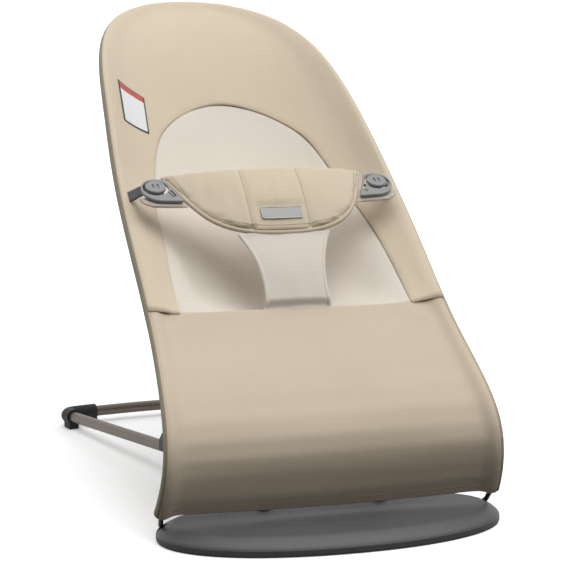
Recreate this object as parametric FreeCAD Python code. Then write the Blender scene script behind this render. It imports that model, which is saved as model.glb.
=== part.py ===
import FreeCAD, Part
import math
import os
from FreeCAD import Vector

# A baby bouncer: a fabric seat on a bent wire frame, hinged to an oval footplate, propped on a bent tube base.
# Millimetres, +Z up, +X to the sitter's left as seen from the front, -Y towards the footplate.
# Stations are given as the distance behind the footplate's front edge and turned into Y by at().

# ---------------------------------------------------------------- driving dimensions
HALF_LENGTH = 390.2

# Outline of the seat's edge, from the hem at the footplate to the top of the head:
# distance behind the front edge, height, half width.
SEAT_OUTLINE = [
    (93.0, 32.0, 195.0),
    (71.0, 85.0, 190.0),
    (97.0, 139.0, 185.0),
    (190.0, 206.0, 177.0),
    (292.0, 279.0, 175.0),
    (399.0, 355.0, 172.0),
    (510.0, 437.0, 162.0),
    (637.0, 509.0, 140.0),
    (781.0, 556.0, 0.0),
]
RAIL_INSET = 6.5
KNEE = 3.24
TOP = 8.0

# Depth of the slung back below its rails along the middle, by station, and how square the hollow is across.
SAG_STATIONS = [
    (3.24, 2.0, 2.0),
    (3.6, 40.0, 2.0),
    (4.0, 50.0, 2.0),
    (4.8, 50.0, 1.0),
    (5.6, 52.0, 1.0),
    (6.3, 42.0, 1.0),
    (7.0, 20.0, 1.0),
    (8.0, 0.0, 1.0),
]

ROD_R = 2.75
SEAT_TUBE_R = 5.0
SEAT_TUBE_BORE_R = 3.9
LAP = 12.0
CLOTH = 3.0
CLOTH_GAP = 0.3
SHEET_GAP = 2.0
CASING_R = 7.0
ROD_CASING_R = 6.0

PLATE_CENTRE = 95.0
PLATE_HALF_WIDTH = 193.0
PLATE_FRONT = 95.0
PLATE_BACK = 83.0
PLATE_SQUARENESS = 2.15
GRIP_TOP = 2.2
BASE_TOP = 7.0
PLATE_TOP = 18.5
PLATE_WALL = 2.6
RIM_SLOPE_WIDTH = 21.0

HINGE_U = 108.0
HINGE_Z = 12.5
HINGE_ROD_X = 186.0
HINGE_PIN_END = 152.0
BUSH_R = 4.5
BUSH_INNER_X = 150.0
BUSH_OUTER_X = 180.0
BUSH_END_WALL = 1.5
BUSH_RECESS = 0.6
ROD_MOUTH_R = 5.3
PIN_CLEARANCE = 0.05
HINGE_BLOCK_INNER_X = 148.0
HINGE_BLOCK_OUTER_X = 188.0
HINGE_BLOCK_DEPTH = 16.0

PLATE_SCREWS = [(x, u) for x in (-120.0, 0.0, 120.0) for u in (48.0, 136.0)]
SCREW_LENGTH = 9.0
SCREW_SHANK_R = 1.7
SCREW_HEAD_R = 3.4
SCREW_HEAD_HEIGHT = 1.8
SCREW_SLOT = 0.8
SCREW_HOLE_R = 1.8
SCREW_RECESS_R = 3.5
SCREW_RECESS_DEPTH = 1.9
SCREW_BOSS_R = 4.5
GRIP_HOLE_R = 5.0
RIB_X = 60.0
RIB_START = 30.0
RIB_LENGTH = 60.0
RIB_WIDTH = 2.0

TUBE_R = 7.0
TUBE_BORE_R = 5.6
CORNER_X = 192.0
CORNER_U = 663.0
CORNER_Z = 14.0
CORNER_R = 28.0
CROSSBAR_BEND_R = 600.0
CROSSBAR_BOW = 24.0
ARM_PLAN_SLOPE = 0.235
ARM_RISE = 0.072
DIP_START = 236.0
DIP_END = 192.0
SOCKET_END = 126.0
SOCKET_Z = 14.5
DIP_R = 50.0
SOCKET_WALL_R = 10.0
SOCKET_REACH = 16.0

FOOT_R = 10.0
FOOT_ALONG_ARM = 2.0
FOOT_ALONG_BAR = 15.0
FOOT_BORE_RUN = 4.0
TREAD_HALF = 6.5
TREAD_DROP = 18.0

BAIL_R = 4.0
BAIL_PIVOT_U = 156.0
BAIL_PIVOT_Z = 168.0
BAIL_PIVOT_X = 144.0
BAIL_PIN_END = 163.0
BAIL_FOOT_X = 132.0
BAIL_FOOT_U = 300.0
BAIL_FOOT_CLEAR = 16.0
BAIL_RATIO = 1.55
RACK_POSITIONS = (0.0, 6.0, 12.0)
RACK_HALF_WIDTH = 9.5
RACK_FRONT = 16.0
RACK_LIP = 11.0
RACK_LIP_END = 6.0
RACK_WALL = 0.6
RACK_END = 8.0
RACK_INNER_X = 90.0
RACK_OUTER_X = 140.0
RACK_SINK = 3.0
NOTCH_DROP = 2.6
NOTCH_CLEARANCE = 0.4
FIXED_CLEARANCE = 0.02

KNEE_GAP = 0.02
CLIP_RUN = 0.15
ROD_ELBOW_R = 6.0
ROD_BEND_R = 40.0
SEAT_BEND_R = 60.0
LINING_DROP = 6.5
SEAT_SLOPE = 36.0

# Arched outline of the inner panel: half width against distance up the seat from the knee.
ARCH_ORIGIN = (215.0, 223.0)
ARCH_OUTLINE = [(138.0, -40.0), (138.0, 60.0), (126.0, 200.0), (107.0, 309.0), (73.0, 377.0), (37.0, 405.0), (0.0, 412.0)]

# Corners of the care label: (station, x) at the lower left, lower right, upper left and upper right.
CARE_LABEL = [(5.85, -140.0), (5.81, -107.5), (6.42, -134.5), (6.31, -101.5)]

STRAP_STATION = 4.75
STRAP_WIDTH = 18.0

# Edges of the harness belt, from its middle outwards: half width, distance behind the front edge, height.
BELT_LOW_EDGE = [(0.0, 273.0, 304.0), (59.0, 281.0, 309.0), (86.0, 298.0, 320.0), (101.0, 316.0, 333.0)]
BELT_HIGH_EDGE = [(0.0, 344.0, 371.0), (66.0, 349.0, 368.0), (121.5, 371.0, 359.0)]
BELT_CROWN = 7.0
PIPING_R = 2.2
PIPING_GAP = 1.4
BADGE_LOW = 0.135
BADGE_HIGH = 0.285
BADGE_HALF_WIDTH = 23.0
STRIP_LOW = (212.5, 227.0)
STRIP_HIGH = (269.0, 298.0)
STRIP_HALF_LOW = 41.0
STRIP_HALF_HIGH = 52.0
STRIP_WAIST = 7.0
BELT_THICKNESS = 7.0
STRIP_THICKNESS = 4.0
KNOB_X = 136.0
KNOB_U = 341.0
KNOB_Z = 352.0
PLATE_TILT = 28.0
KNOB_R = 12.2
KNOB_TOP = 1.5
KNOB_UNDERSIDE = -3.0
KNOB_NECK_R = 4.9
KNOB_FLANGE_R = 8.0
KNOB_FLANGE_TOP = -5.7
KNOB_FLANGE_BOTTOM = -7.6
KNOB_EDGE = 0.8
KNOB_GROOVES = (-4.0, 1.6)
GROOVE_WIDTH = 2.4
GROOVE_LENGTH = 8.0
GROOVE_DEPTH = 1.3
STRAP_HOLE_R = 5.1
KEYHOLE_R = 15.4
KEYHOLE_B = -1.5
BUCKLE_THICKNESS = 3.2
BUCKLE_EDGE = 0.6
SLOT_AT = (-18.6, -13.0)
SLOT_SIZE = (2.6, 13.0)
SLOT_ANGLE = -19.0
BAR_AT = (-15.9, -13.9)
BAR_SIZE = (2.2, 12.0)
BAR_RISE = 1.0
TAB_TOP = -8.6
TAB_BOTTOM = -12.6
STRAP_LEVEL = -4.4
STRAP_THICKNESS = 1.2

CLIP_WALL = 4.4
CLIP_GRIP_HALF = 11.0
CLIP_EYE_R = 8.0
CLIP_INNER_X = 151.0
CLIP_OUTER_X = 165.0
CLIP_INNER_WALL = 5.6
CLIP_DEPTH = 8.0
CLIP_PAD_HALF = 9.0
CLIP_PAD_LOW = -11.0
CLIP_PAD_HIGH = -4.0
CLIP_NECK = (6.0, 7.0)
CLIP_NECK_TOP = -5.0

COLLAR_R = 5.6
COLLAR_LENGTH = 5.5
COLLAR_GAP = 7.0

LINING_THICKNESS = 1.6
LABEL_THICKNESS = 0.6
LABEL_LIFT = 0.9
BADGE_THICKNESS = 1.0
BADGE_LIFT = 0.9
STRIP_BOW = 4.0

# Tells a ruled surface to join its two edges start to start.
SAME_WAY = 1


# ---------------------------------------------------------------- helpers
def at(x, u, z):
    """A point given by its distance u behind the footplate's front edge."""
    return Vector(x, u - HALF_LENGTH, z)


def mirrored(shape):
    return shape.mirror(Vector(0, 0, 0), Vector(1, 0, 0))


def save(name, shape):
    shape.exportStep("parts/" + name + ".step")


def save_pair(name, right):
    """The +X piece and its mirror image as two nodes."""
    save(name + "_right", right)
    save(name + "_left", mirrored(right))


def solid_group(shapes):
    return Part.makeCompound(shapes)


def round_corner(before, corner, after, radius):
    """Tangent arc that rounds a corner, or None where the path hardly turns."""
    incoming = (corner - before).normalize()
    outgoing = (after - corner).normalize()
    turn = incoming.getAngle(outgoing)
    if turn < 1e-4:
        return None
    longest = 0.49 * min((corner - before).Length, (after - corner).Length) / math.tan(turn / 2)
    reach = min(radius, longest) * math.tan(turn / 2)
    start = corner - incoming * reach
    end = corner + outgoing * reach
    bisector = (outgoing - incoming).normalize()
    arc_radius = reach / math.tan(turn / 2)
    centre = corner + bisector * (arc_radius / math.cos(turn / 2))
    middle = centre - bisector * arc_radius
    return start, middle, end


def bent_path(points, radii):
    """Straight runs joined by tangent arcs, one radius for each corner between the ends."""
    edges = []
    here = points[0]
    for i, radius in enumerate(radii, start=1):
        bend = round_corner(points[i - 1], points[i], points[i + 1], radius)
        if bend is None:
            continue
        start, middle, end = bend
        if (start - here).Length > 1e-3:
            edges.append(Part.LineSegment(here, start).toShape())
        edges.append(Part.Arc(start, middle, end).toShape())
        here = end
    edges.append(Part.LineSegment(here, points[-1]).toShape())
    return Part.Wire(edges)


def swept(path, radius):
    """Round bar along a path."""
    start = path.OrderedVertexes[0].Point
    first = path.OrderedEdges[0]
    along = first.tangentAt(first.FirstParameter)
    if (first.valueAt(first.FirstParameter) - start).Length > 1e-3:
        along = first.tangentAt(first.LastParameter) * -1
    ring = Part.Wire([Part.Circle(start, along, radius).toShape()])
    return path.makePipeShell([ring], True, False)


def swept_tube(path, outer, inner):
    return swept(path, outer).cut(swept(path, inner))


def cylinder_x(x_start, x_end, u, z, radius):
    return Part.makeCylinder(radius, x_end - x_start, at(x_start, u, z), Vector(1, 0, 0))


def spline_through(points, parameters):
    curve = Part.BSplineCurve()
    curve.interpolate(Points=points, Parameters=parameters)
    return curve


OUTLINE = spline_through([Vector(w * w, u, z) for u, z, w in SEAT_OUTLINE],
                         [float(i) for i in range(len(SEAT_OUTLINE))])
SAG = spline_through([Vector(0, depth, power) for _, depth, power in SAG_STATIONS],
                     [station for station, _, _ in SAG_STATIONS])


def seat_normal(t):
    """Unit vector out of the seat's front at station t."""
    slope = OUTLINE.getD1(t)[1]
    slope.x = 0.0
    slope.normalize()
    return Vector(0, -slope.z, slope.y)


def inset_point(t, inset):
    """Point of the +X half of the outline at station t, drawn in by an inset within the seat's surface."""
    value, rate = OUTLINE.getD1(t)
    half = math.sqrt(max(value.x, 0.0))
    along = Vector(rate.x, 2 * half * rate.y, 2 * half * rate.z).normalize()
    outward = along.cross(seat_normal(t))
    return at(half, value.y, value.z) - outward * inset


def rail_point(t, side=1.0):
    """Centre of the side rail at station t, on the +X side by default."""
    p = inset_point(t, RAIL_INSET)
    return Vector(side * p.x, p.y, p.z)


def seat_depth(t, x):
    """How far the slung fabric hangs below the rails at station t and offset x."""
    sag = SAG.value(max(t, KNEE))
    across = max(0.0, 1.0 - (x / max(inset_point(t, RAIL_INSET).x, 1.0)) ** 2)
    return sag.y * across ** sag.z


def seat_point(t, share, lift, inset):
    """Point of the fabric at station t and a share -1..1 of its width, lifted off its middle surface."""
    edge = inset_point(t, inset)
    x = share * edge.x
    depth = seat_depth(t, x) if t > KNEE else 0.0
    return Vector(x, edge.y, edge.z) + seat_normal(t) * (lift - depth)


def sheet_solid(front, back):
    """Closed sheet between two grids of points with the same rows and columns."""
    surfaces = []
    for grid in (front, back):
        surface = Part.BSplineSurface()
        surface.interpolate(grid)
        surfaces.append(surface)
    faces = [surface.toShape() for surface in surfaces]
    a, b = surfaces
    u0, u1, v0, v1 = a.bounds()
    for iso_a, iso_b in (
        (a.uIso(u0), b.uIso(b.bounds()[0])),
        (a.uIso(u1), b.uIso(b.bounds()[1])),
        (a.vIso(v0), b.vIso(b.bounds()[2])),
        (a.vIso(v1), b.vIso(b.bounds()[3])),
    ):
        faces.append(Part.makeRuledSurface(iso_a.toShape(), iso_b.toShape(), SAME_WAY))
    shell = Part.makeShell(faces)
    shell.sewShape()
    solid = Part.makeSolid(shell)
    if solid.Volume < 0:
        solid.reverse()
    return solid


def grid_normal(grid, i, j):
    """Unit normal of a grid of points at row i and column j, on the side where rows, then columns, turn left."""
    row_low = grid[max(i - 1, 0)][j]
    row_high = grid[min(i + 1, len(grid) - 1)][j]
    column_low = grid[i][max(j - 1, 0)]
    column_high = grid[i][min(j + 1, len(grid[i]) - 1)]
    return (column_high - column_low).cross(row_high - row_low).normalize()


def thick_grid(grid, thickness):
    """Solid sheet of a thickness centred on a grid of points, front side up."""
    front, back = [], []
    for i, row in enumerate(grid):
        normals = [grid_normal(grid, i, j) for j in range(len(row))]
        front.append([p + n * (thickness / 2) for p, n in zip(row, normals)])
        back.append([p - n * (thickness / 2) for p, n in zip(row, normals)])
    return sheet_solid(front, back)


# ---------------------------------------------------------------- footplate
def plate_outline(inset, z, points=48):
    """Closed oval of the footplate, drawn in by an inset, at height z."""
    corners = []
    for i in range(points):
        angle = 2 * math.pi * i / points
        c, s = math.cos(angle), math.sin(angle)
        depth = PLATE_FRONT if s < 0 else PLATE_BACK
        power = 2.0 / PLATE_SQUARENESS
        x = (PLATE_HALF_WIDTH - inset) * math.copysign(abs(c) ** power, c)
        u = PLATE_CENTRE + (depth - inset) * math.copysign(abs(s) ** power, s)
        corners.append(at(x, u, z))
    curve = Part.BSplineCurve()
    curve.interpolate(Points=corners, PeriodicFlag=True)
    return Part.Wire([curve.toShape()])


def plate_slab(inset, z_low, z_high):
    face = Part.Face(plate_outline(inset, z_low))
    return face.extrude(Vector(0, 0, z_high - z_low))


def plate_dome(inset, z_low, z_high):
    """Oval with a sloped rim that rises to a level top."""
    rise = z_high - z_low
    sections = [(0.0, 0.0), (1.0, 0.18), (5.0, 0.50), (12.0, 0.84), (RIM_SLOPE_WIDTH, 1.0)]
    wires = [plate_outline(inset + step, z_low + rise * part) for step, part in sections]
    return Part.makeLoft(wires, True, False)


def arm_x(u):
    return CORNER_X - ARM_PLAN_SLOPE * (CORNER_U - u)


def arm_z(u):
    return CORNER_Z + ARM_RISE * (CORNER_U - u)


def arm_points(side):
    return [
        at(side * arm_x(SOCKET_END), SOCKET_END, SOCKET_Z),
        at(side * arm_x(DIP_END), DIP_END, SOCKET_Z),
        at(side * arm_x(DIP_START), DIP_START, arm_z(DIP_START)),
        at(side * CORNER_X, CORNER_U, CORNER_Z),
    ]


def screw(x, u):
    """Slotted pan head screw driven up into the cover, its head flush with the underplate."""
    head = Part.makeCylinder(SCREW_HEAD_R, SCREW_HEAD_HEIGHT, at(x, u, GRIP_TOP))
    shank = Part.makeCylinder(SCREW_SHANK_R, SCREW_LENGTH, at(x, u, GRIP_TOP + SCREW_HEAD_HEIGHT))
    half = 1.2 * SCREW_SHANK_R
    slot = Part.makeBox(2 * half, SCREW_SLOT, SCREW_SLOT, at(x - half, u - SCREW_SLOT / 2, GRIP_TOP))
    return head.fuse(shank).cut(slot)


def socket_path(side):
    """The straight stretch of a base arm inside the footplate."""
    front = arm_points(side)[0]
    rear_u = DIP_END - SOCKET_REACH
    rear = at(side * arm_x(rear_u), rear_u, SOCKET_Z)
    return Part.Wire([Part.LineSegment(front, rear).toShape()])


def sided_box(side, x_inner, x_outer, u, z, depth, height):
    """Box between two distances from the middle, on one side."""
    low = min(side * x_inner, side * x_outer)
    return Part.makeBox(x_outer - x_inner, depth, height, at(low, u, z))


def sided_bore(side, x_inner, x_outer, radius):
    """Round bore on the hinge line between two distances from the middle, on one side."""
    low, high = sorted((side * x_inner, side * x_outer))
    return cylinder_x(low, high, HINGE_U, HINGE_Z, radius)


def cover_inner_walls(outer):
    """Screw bosses, hinge blocks and ribs inside the cover, trimmed to its outer shape."""
    height = PLATE_TOP - BASE_TOP
    walls = [Part.makeCylinder(SCREW_BOSS_R, height, at(x, u, BASE_TOP)) for x, u in PLATE_SCREWS]
    for side in (-1, 1):
        walls.append(sided_box(side, HINGE_BLOCK_INNER_X, HINGE_BLOCK_OUTER_X,
                               HINGE_U - HINGE_BLOCK_DEPTH / 2, BASE_TOP, HINGE_BLOCK_DEPTH, height))
        walls.append(sided_box(side, RIB_X - RIB_WIDTH / 2, RIB_X + RIB_WIDTH / 2,
                               RIB_START, BASE_TOP, RIB_LENGTH, height))
    return [wall.common(outer) for wall in walls]


def footplate_cover():
    outer = plate_dome(0.0, BASE_TOP, PLATE_TOP)
    hollow = plate_dome(PLATE_WALL + 1.0, BASE_TOP - 1.0, PLATE_TOP - PLATE_WALL)
    cover = outer.cut(hollow)
    for wall in cover_inner_walls(outer):
        cover = cover.fuse(wall)
    below = Part.makeBox(500, 500, 50, Vector(-250, -250 - HALF_LENGTH + 150, BASE_TOP - 50))
    for side in (-1, 1):
        cover = cover.fuse(swept(socket_path(side), SOCKET_WALL_R).cut(below))
    for side in (-1, 1):
        cover = cover.cut(swept(socket_path(side), TUBE_R))
        cover = cover.cut(sided_bore(side, BUSH_INNER_X, BUSH_OUTER_X, BUSH_R))
        cover = cover.cut(sided_bore(side, BUSH_OUTER_X - 0.5, BUSH_OUTER_X + 20.0, ROD_MOUTH_R))
    for x, u in PLATE_SCREWS:
        cover = cover.cut(Part.makeCylinder(SCREW_SHANK_R, SCREW_LENGTH, at(x, u, BASE_TOP - 2.0)))
    return cover


def hinge_bush():
    """Closed sleeve in the hinge block that carries one end of the rod."""
    bush = cylinder_x(BUSH_INNER_X, BUSH_OUTER_X - BUSH_RECESS, HINGE_U, HINGE_Z, BUSH_R)
    bore = cylinder_x(BUSH_INNER_X + BUSH_END_WALL, BUSH_OUTER_X, HINGE_U, HINGE_Z, ROD_R + PIN_CLEARANCE)
    return bush.cut(bore)


def footplate():
    grip = plate_slab(0.8, 0.0, GRIP_TOP)
    base = plate_slab(0.0, GRIP_TOP, BASE_TOP)
    for x, u in PLATE_SCREWS:
        grip = grip.cut(Part.makeCylinder(GRIP_HOLE_R, GRIP_TOP, at(x, u, 0)))
        base = base.cut(Part.makeCylinder(SCREW_RECESS_R, SCREW_RECESS_DEPTH, at(x, u, GRIP_TOP)))
        base = base.cut(Part.makeCylinder(SCREW_HOLE_R, BASE_TOP, at(x, u, GRIP_TOP)))
    save("footplate_grip", grip)
    save("footplate_base", base)
    save("footplate_cover", footplate_cover())
    save("footplate_screws", solid_group([screw(x, u) for x, u in PLATE_SCREWS]))
    save_pair("hinge_bush", hinge_bush())


# ---------------------------------------------------------------- base tube, feet and racks
def crossbar_points():
    """The rear crossbar bows out behind the corners in a shallow arc."""
    count = 8
    points = []
    for i in range(1, count):
        x = CORNER_X * (1 - 2.0 * i / count)
        bow = CROSSBAR_BOW * (1 - (x / CORNER_X) ** 2)
        points.append(at(x, CORNER_U + bow, CORNER_Z))
    return points


def base_path():
    right = arm_points(1)
    left = [Vector(-p.x, p.y, p.z) for p in reversed(right)]
    bar = crossbar_points()
    arm_radii = [DIP_R, DIP_R, CORNER_R]
    radii = arm_radii + [CROSSBAR_BEND_R] * len(bar) + arm_radii[::-1]
    return bent_path(right + bar + left, radii)


def corner_path(along_arm, along_bar):
    """The stretch of the base tube's path round the +X rear corner."""
    corner = at(CORNER_X, CORNER_U, CORNER_Z)
    arm = (arm_points(1)[2] - corner).normalize()
    bar = (crossbar_points()[0] - corner).normalize()
    reach = CORNER_R
    return bent_path([corner + arm * (reach + along_arm), corner, corner + bar * (reach + along_bar)], [CORNER_R])


def rear_foot():
    """Rubber elbow pushed over the tube's rear corner, with a flat tread."""
    path = corner_path(FOOT_ALONG_ARM, FOOT_ALONG_BAR)
    skin = swept(path, FOOT_R)
    start = path.OrderedVertexes[0].Point
    first = path.OrderedEdges[0]
    along = first.tangentAt(first.FirstParameter)
    side = Vector(along.y, -along.x, 0).normalize()
    near = start + side * TREAD_HALF
    far = start - side * TREAD_HALF
    drop = Vector(0, 0, -TREAD_DROP)
    tread = Part.makePolygon([near, near + drop, far + drop, far, near])
    tread = path.makePipeShell([tread], True, False)
    body = skin.fuse(tread)
    floor = Part.makeBox(600, 600, 60, Vector(-300, 0, -60))
    bore = swept(corner_path(FOOT_ALONG_ARM + FOOT_BORE_RUN, FOOT_ALONG_BAR + FOOT_BORE_RUN), TUBE_R)
    return body.cut(floor).cut(bore)


def foot_at(angle_deg):
    """Centre of the bail's foot (u, z) when the seat has reclined by an angle."""
    t = math.radians(angle_deg)
    pivot = (BAIL_PIVOT_U - HINGE_U, BAIL_PIVOT_Z - HINGE_Z)
    leg = (BAIL_FOOT_U - BAIL_PIVOT_U, arm_z(BAIL_FOOT_U) + BAIL_FOOT_CLEAR - BAIL_PIVOT_Z)
    swing = (BAIL_RATIO - 1.0) * t
    u = HINGE_U + pivot[0] * math.cos(t) + pivot[1] * math.sin(t)
    z = HINGE_Z - pivot[0] * math.sin(t) + pivot[1] * math.cos(t)
    u += leg[0] * math.cos(swing) - leg[1] * math.sin(swing)
    z += leg[0] * math.sin(swing) + leg[1] * math.cos(swing)
    return u, z


def rack_outline():
    """Side view of the notched block: a lip in front, then a top that follows the bail's foot."""
    rest_u, rest_z = foot_at(0.0)
    front_u = rest_u - RACK_FRONT
    outline = [
        (front_u, arm_z(front_u) - RACK_SINK),
        (front_u, rest_z - 2.0),
        (rest_u - RACK_LIP, rest_z + 2.0),
        (rest_u - RACK_LIP_END, rest_z + 2.0),
    ]
    steps = 8
    for i in range(steps + 1):
        u, z = foot_at((RACK_POSITIONS[-1] + 3.0) * i / steps)
        outline.append((u, z - BAIL_R - RACK_WALL))
    end_u = outline[-1][0] + RACK_END
    outline.append((end_u, arm_z(end_u) + TUBE_R + 2.0))
    outline.append((end_u, arm_z(end_u) - RACK_SINK))
    return outline


def rack_strip(u_start, u_end):
    """Upright slab along a base arm, as wide as the rack."""
    near_start = at(arm_x(u_start) - RACK_HALF_WIDTH, u_start, 0)
    near_end = at(arm_x(u_end) - RACK_HALF_WIDTH, u_end, 0)
    across = Vector(2 * RACK_HALF_WIDTH, 0, 0)
    outline = [near_start, near_end, near_end + across, near_start + across, near_start]
    return Part.Face(Part.makePolygon(outline)).extrude(Vector(0, 0, 100.0))


def notch_rack():
    """Three-notch block clamped on a base arm, under the bail's foot."""
    outline = rack_outline()
    corners = [at(RACK_INNER_X, u, z) for u, z in outline]
    width = Vector(RACK_OUTER_X - RACK_INNER_X, 0, 0)
    block = Part.Face(Part.makePolygon(corners + corners[:1])).extrude(width)
    block = block.common(rack_strip(outline[0][0] - 4.0, outline[-1][0] + 5.0))
    for position in RACK_POSITIONS:
        u, z = foot_at(position)
        drop = 0.0 if position == 0.0 else NOTCH_DROP
        notch = cylinder_x(RACK_INNER_X - 10.0, RACK_OUTER_X + 10.0, u, z - drop, BAIL_R + NOTCH_CLEARANCE)
        block = block.cut(notch)
    arm = Part.Wire([Part.LineSegment(arm_points(1)[2], arm_points(1)[3]).toShape()])
    return block.cut(swept(arm, TUBE_R + FIXED_CLEARANCE))


def base_frame():
    save("base_tube", swept_tube(base_path(), TUBE_R, TUBE_BORE_R))
    save_pair("rear_foot", rear_foot())
    save_pair("notch_rack", notch_rack())


# ---------------------------------------------------------------- legs: spring rods, leg panel, clips
def knee_axis():
    """Centre and direction of the rail where rod and tube overlap at the knee."""
    centre = rail_point(KNEE)
    along = (rail_point(KNEE + 0.1) - rail_point(KNEE - 0.1)).normalize()
    return centre, along


def clip_station():
    """Station of the rail whose normal passes through the bail's pivot."""
    def offset(t):
        p = OUTLINE.value(t)
        slope = OUTLINE.getD1(t)[1]
        return abs((BAIL_PIVOT_U - p.y) * slope.y + (BAIL_PIVOT_Z - p.z) * slope.z)
    return min([2.0 + i / 100.0 for i in range(100)], key=offset)


def rod_stations():
    """Stations of the spring rod's bends, with a straight run through the bail clip."""
    clip = clip_station()
    lower = [0.0, 0.35, 0.65, 0.95, 1.25, 1.55, 1.85, 2.15]
    return lower + [clip - CLIP_RUN, clip + CLIP_RUN]


def spring_rod_points():
    centre, along = knee_axis()
    points = [at(HINGE_PIN_END, HINGE_U, HINGE_Z), at(HINGE_ROD_X, HINGE_U, HINGE_Z)]
    points += [rail_point(t) for t in rod_stations()]
    points += [centre - along * (LAP + 10.0), centre + along * LAP]
    return points


def spring_rod_path():
    points = spring_rod_points()
    return bent_path(points, [ROD_ELBOW_R] + [ROD_BEND_R] * (len(points) - 3))


def rod_casing():
    """Fabric tunnels sewn round one spring rod, open at the bail clip."""
    points = spring_rod_points()
    clip_run = len(rod_stations())
    centre, along = knee_axis()
    through_clip = points[clip_run + 1] - points[clip_run]
    before_clip = points[clip_run] + through_clip * 0.14
    after_clip = points[clip_run] + through_clip * 0.86
    corners = points[3:clip_run + 1]
    hem = points[2] + (points[3] - points[2]) * 0.3
    lower = bent_path([hem] + corners + [before_clip], [ROD_BEND_R] * len(corners))
    knee = centre - along * (LAP + 9.0)
    upper = bent_path([after_clip, points[clip_run + 1], knee], [ROD_BEND_R])
    return solid_group([swept_tube(path, ROD_CASING_R, ROD_R + CLOTH_GAP) for path in (lower, upper)])


def stop_collar():
    """Ring fixed on the rod just below the seat tube's open end."""
    centre, along = knee_axis()
    start = centre - along * (LAP + COLLAR_GAP)
    ring = Part.makeCylinder(COLLAR_R, COLLAR_LENGTH, start, along)
    return ring.cut(Part.makeCylinder(ROD_R + FIXED_CLEARANCE, COLLAR_LENGTH, start, along))


def extruded_x(outline, x_start, x_end):
    corners = [Vector(x_start, p.y, p.z) for p in outline]
    face = Part.Face(Part.makePolygon(corners + corners[:1]))
    return face.extrude(Vector(x_end - x_start, 0, 0))


def bail_clip():
    """Moulded clip round the spring rod that carries one end of the bail below the seat."""
    t = clip_station()
    rod = rail_point(t)
    normal = seat_normal(t)
    along = Vector(0, normal.z, -normal.y)
    pivot = at(0, BAIL_PIVOT_U, BAIL_PIVOT_Z)

    def block(base_low, base_high, half_low, half_high, low, high, x_start, x_end):
        outline = [
            base_low - along * half_low + normal * low,
            base_low + along * half_low + normal * low,
            base_high + along * half_high + normal * high,
            base_high - along * half_high + normal * high,
        ]
        return extruded_x(outline, x_start, x_end)

    outer = rod.x + CLIP_WALL
    grip = block(rod, rod, CLIP_GRIP_HALF, CLIP_GRIP_HALF, -CLIP_DEPTH, CLIP_WALL, rod.x - CLIP_INNER_WALL, outer)
    pad = block(rod, rod, CLIP_PAD_HALF, CLIP_PAD_HALF, CLIP_PAD_LOW, CLIP_PAD_HIGH, CLIP_INNER_X, outer)
    neck = block(pivot, rod, *CLIP_NECK, 0.0, CLIP_NECK_TOP, CLIP_INNER_X, CLIP_OUTER_X)
    eye = cylinder_x(CLIP_INNER_X, CLIP_OUTER_X, BAIL_PIVOT_U, BAIL_PIVOT_Z, CLIP_EYE_R)
    body = grip.fuse(pad).fuse(neck).fuse(eye)
    pin_end = BAIL_PIN_END + 0.4
    pin_hole = cylinder_x(CLIP_INNER_X - 1.0, pin_end, BAIL_PIVOT_U, BAIL_PIVOT_Z, BAIL_R + PIN_CLEARANCE)
    return body.cut(pin_hole).cut(swept(spring_rod_path(), ROD_R + FIXED_CLEARANCE))


def leg_panel():
    """Fabric stretched between the spring rods, from the hem to the knee."""
    rows = 14
    grid = []
    for i in range(rows + 1):
        t = (KNEE - KNEE_GAP) * i / rows
        grid.append([seat_point(t, share / 4.0, 0.0, RAIL_INSET + ROD_CASING_R + CLOTH_GAP)
                     for share in range(-4, 5)])
    return thick_grid(grid, CLOTH)


def bail_points():
    foot_z = arm_z(BAIL_FOOT_U) + BAIL_FOOT_CLEAR
    right = [
        at(BAIL_PIN_END, BAIL_PIVOT_U, BAIL_PIVOT_Z),
        at(BAIL_PIVOT_X, BAIL_PIVOT_U, BAIL_PIVOT_Z),
        at(BAIL_FOOT_X, BAIL_FOOT_U, foot_z),
    ]
    left = [Vector(-p.x, p.y, p.z) for p in reversed(right)]
    return right + left


def legs():
    save_pair("spring_rod", swept(spring_rod_path(), ROD_R))
    save_pair("stop_collar", stop_collar())
    save_pair("bail_clip", bail_clip())
    save_pair("rod_casing", rod_casing())
    save("leg_panel", leg_panel())
    save("support_bail", swept(bent_path(bail_points(), [7.0, 20.0, 20.0, 7.0]), BAIL_R))


# ---------------------------------------------------------------- back: seat tube and slung fabric
def seat_tube_points(first_offset):
    """Corner points of the loop: up the +X rail, round the head and down the -X rail."""
    centre, along = knee_axis()
    head_start, head_steps = 6.4, 6
    stations = [3.7, 4.15, 4.6, 5.05, 5.5, 5.95]
    stations += [TOP - (TOP - head_start) * (1 - j / head_steps) ** 2 for j in range(head_steps)]
    right = [centre + along * first_offset, centre + along * (LAP + 4.0)]
    right += [rail_point(t) for t in stations]
    left = [Vector(-p.x, p.y, p.z) for p in reversed(right)]
    return right + [rail_point(TOP)] + left


def seat_loop(first_offset):
    points = seat_tube_points(first_offset)
    return bent_path(points, [SEAT_BEND_R] * (len(points) - 2))


def back_stations(count):
    """Stations from the knee to the head, closer together where the outline closes in."""
    start, end = KNEE + KNEE_GAP, TOP - 0.03
    return [start + (end - start) * math.sin(0.5 * math.pi * i / count) for i in range(count + 1)]


def back_sheet(lift, thickness):
    grid = []
    for t in back_stations(18):
        grid.append([seat_point(t, share / 7.0, lift, RAIL_INSET + CASING_R + SHEET_GAP)
                     for share in range(-7, 8)])
    return thick_grid(grid, thickness)


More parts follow.
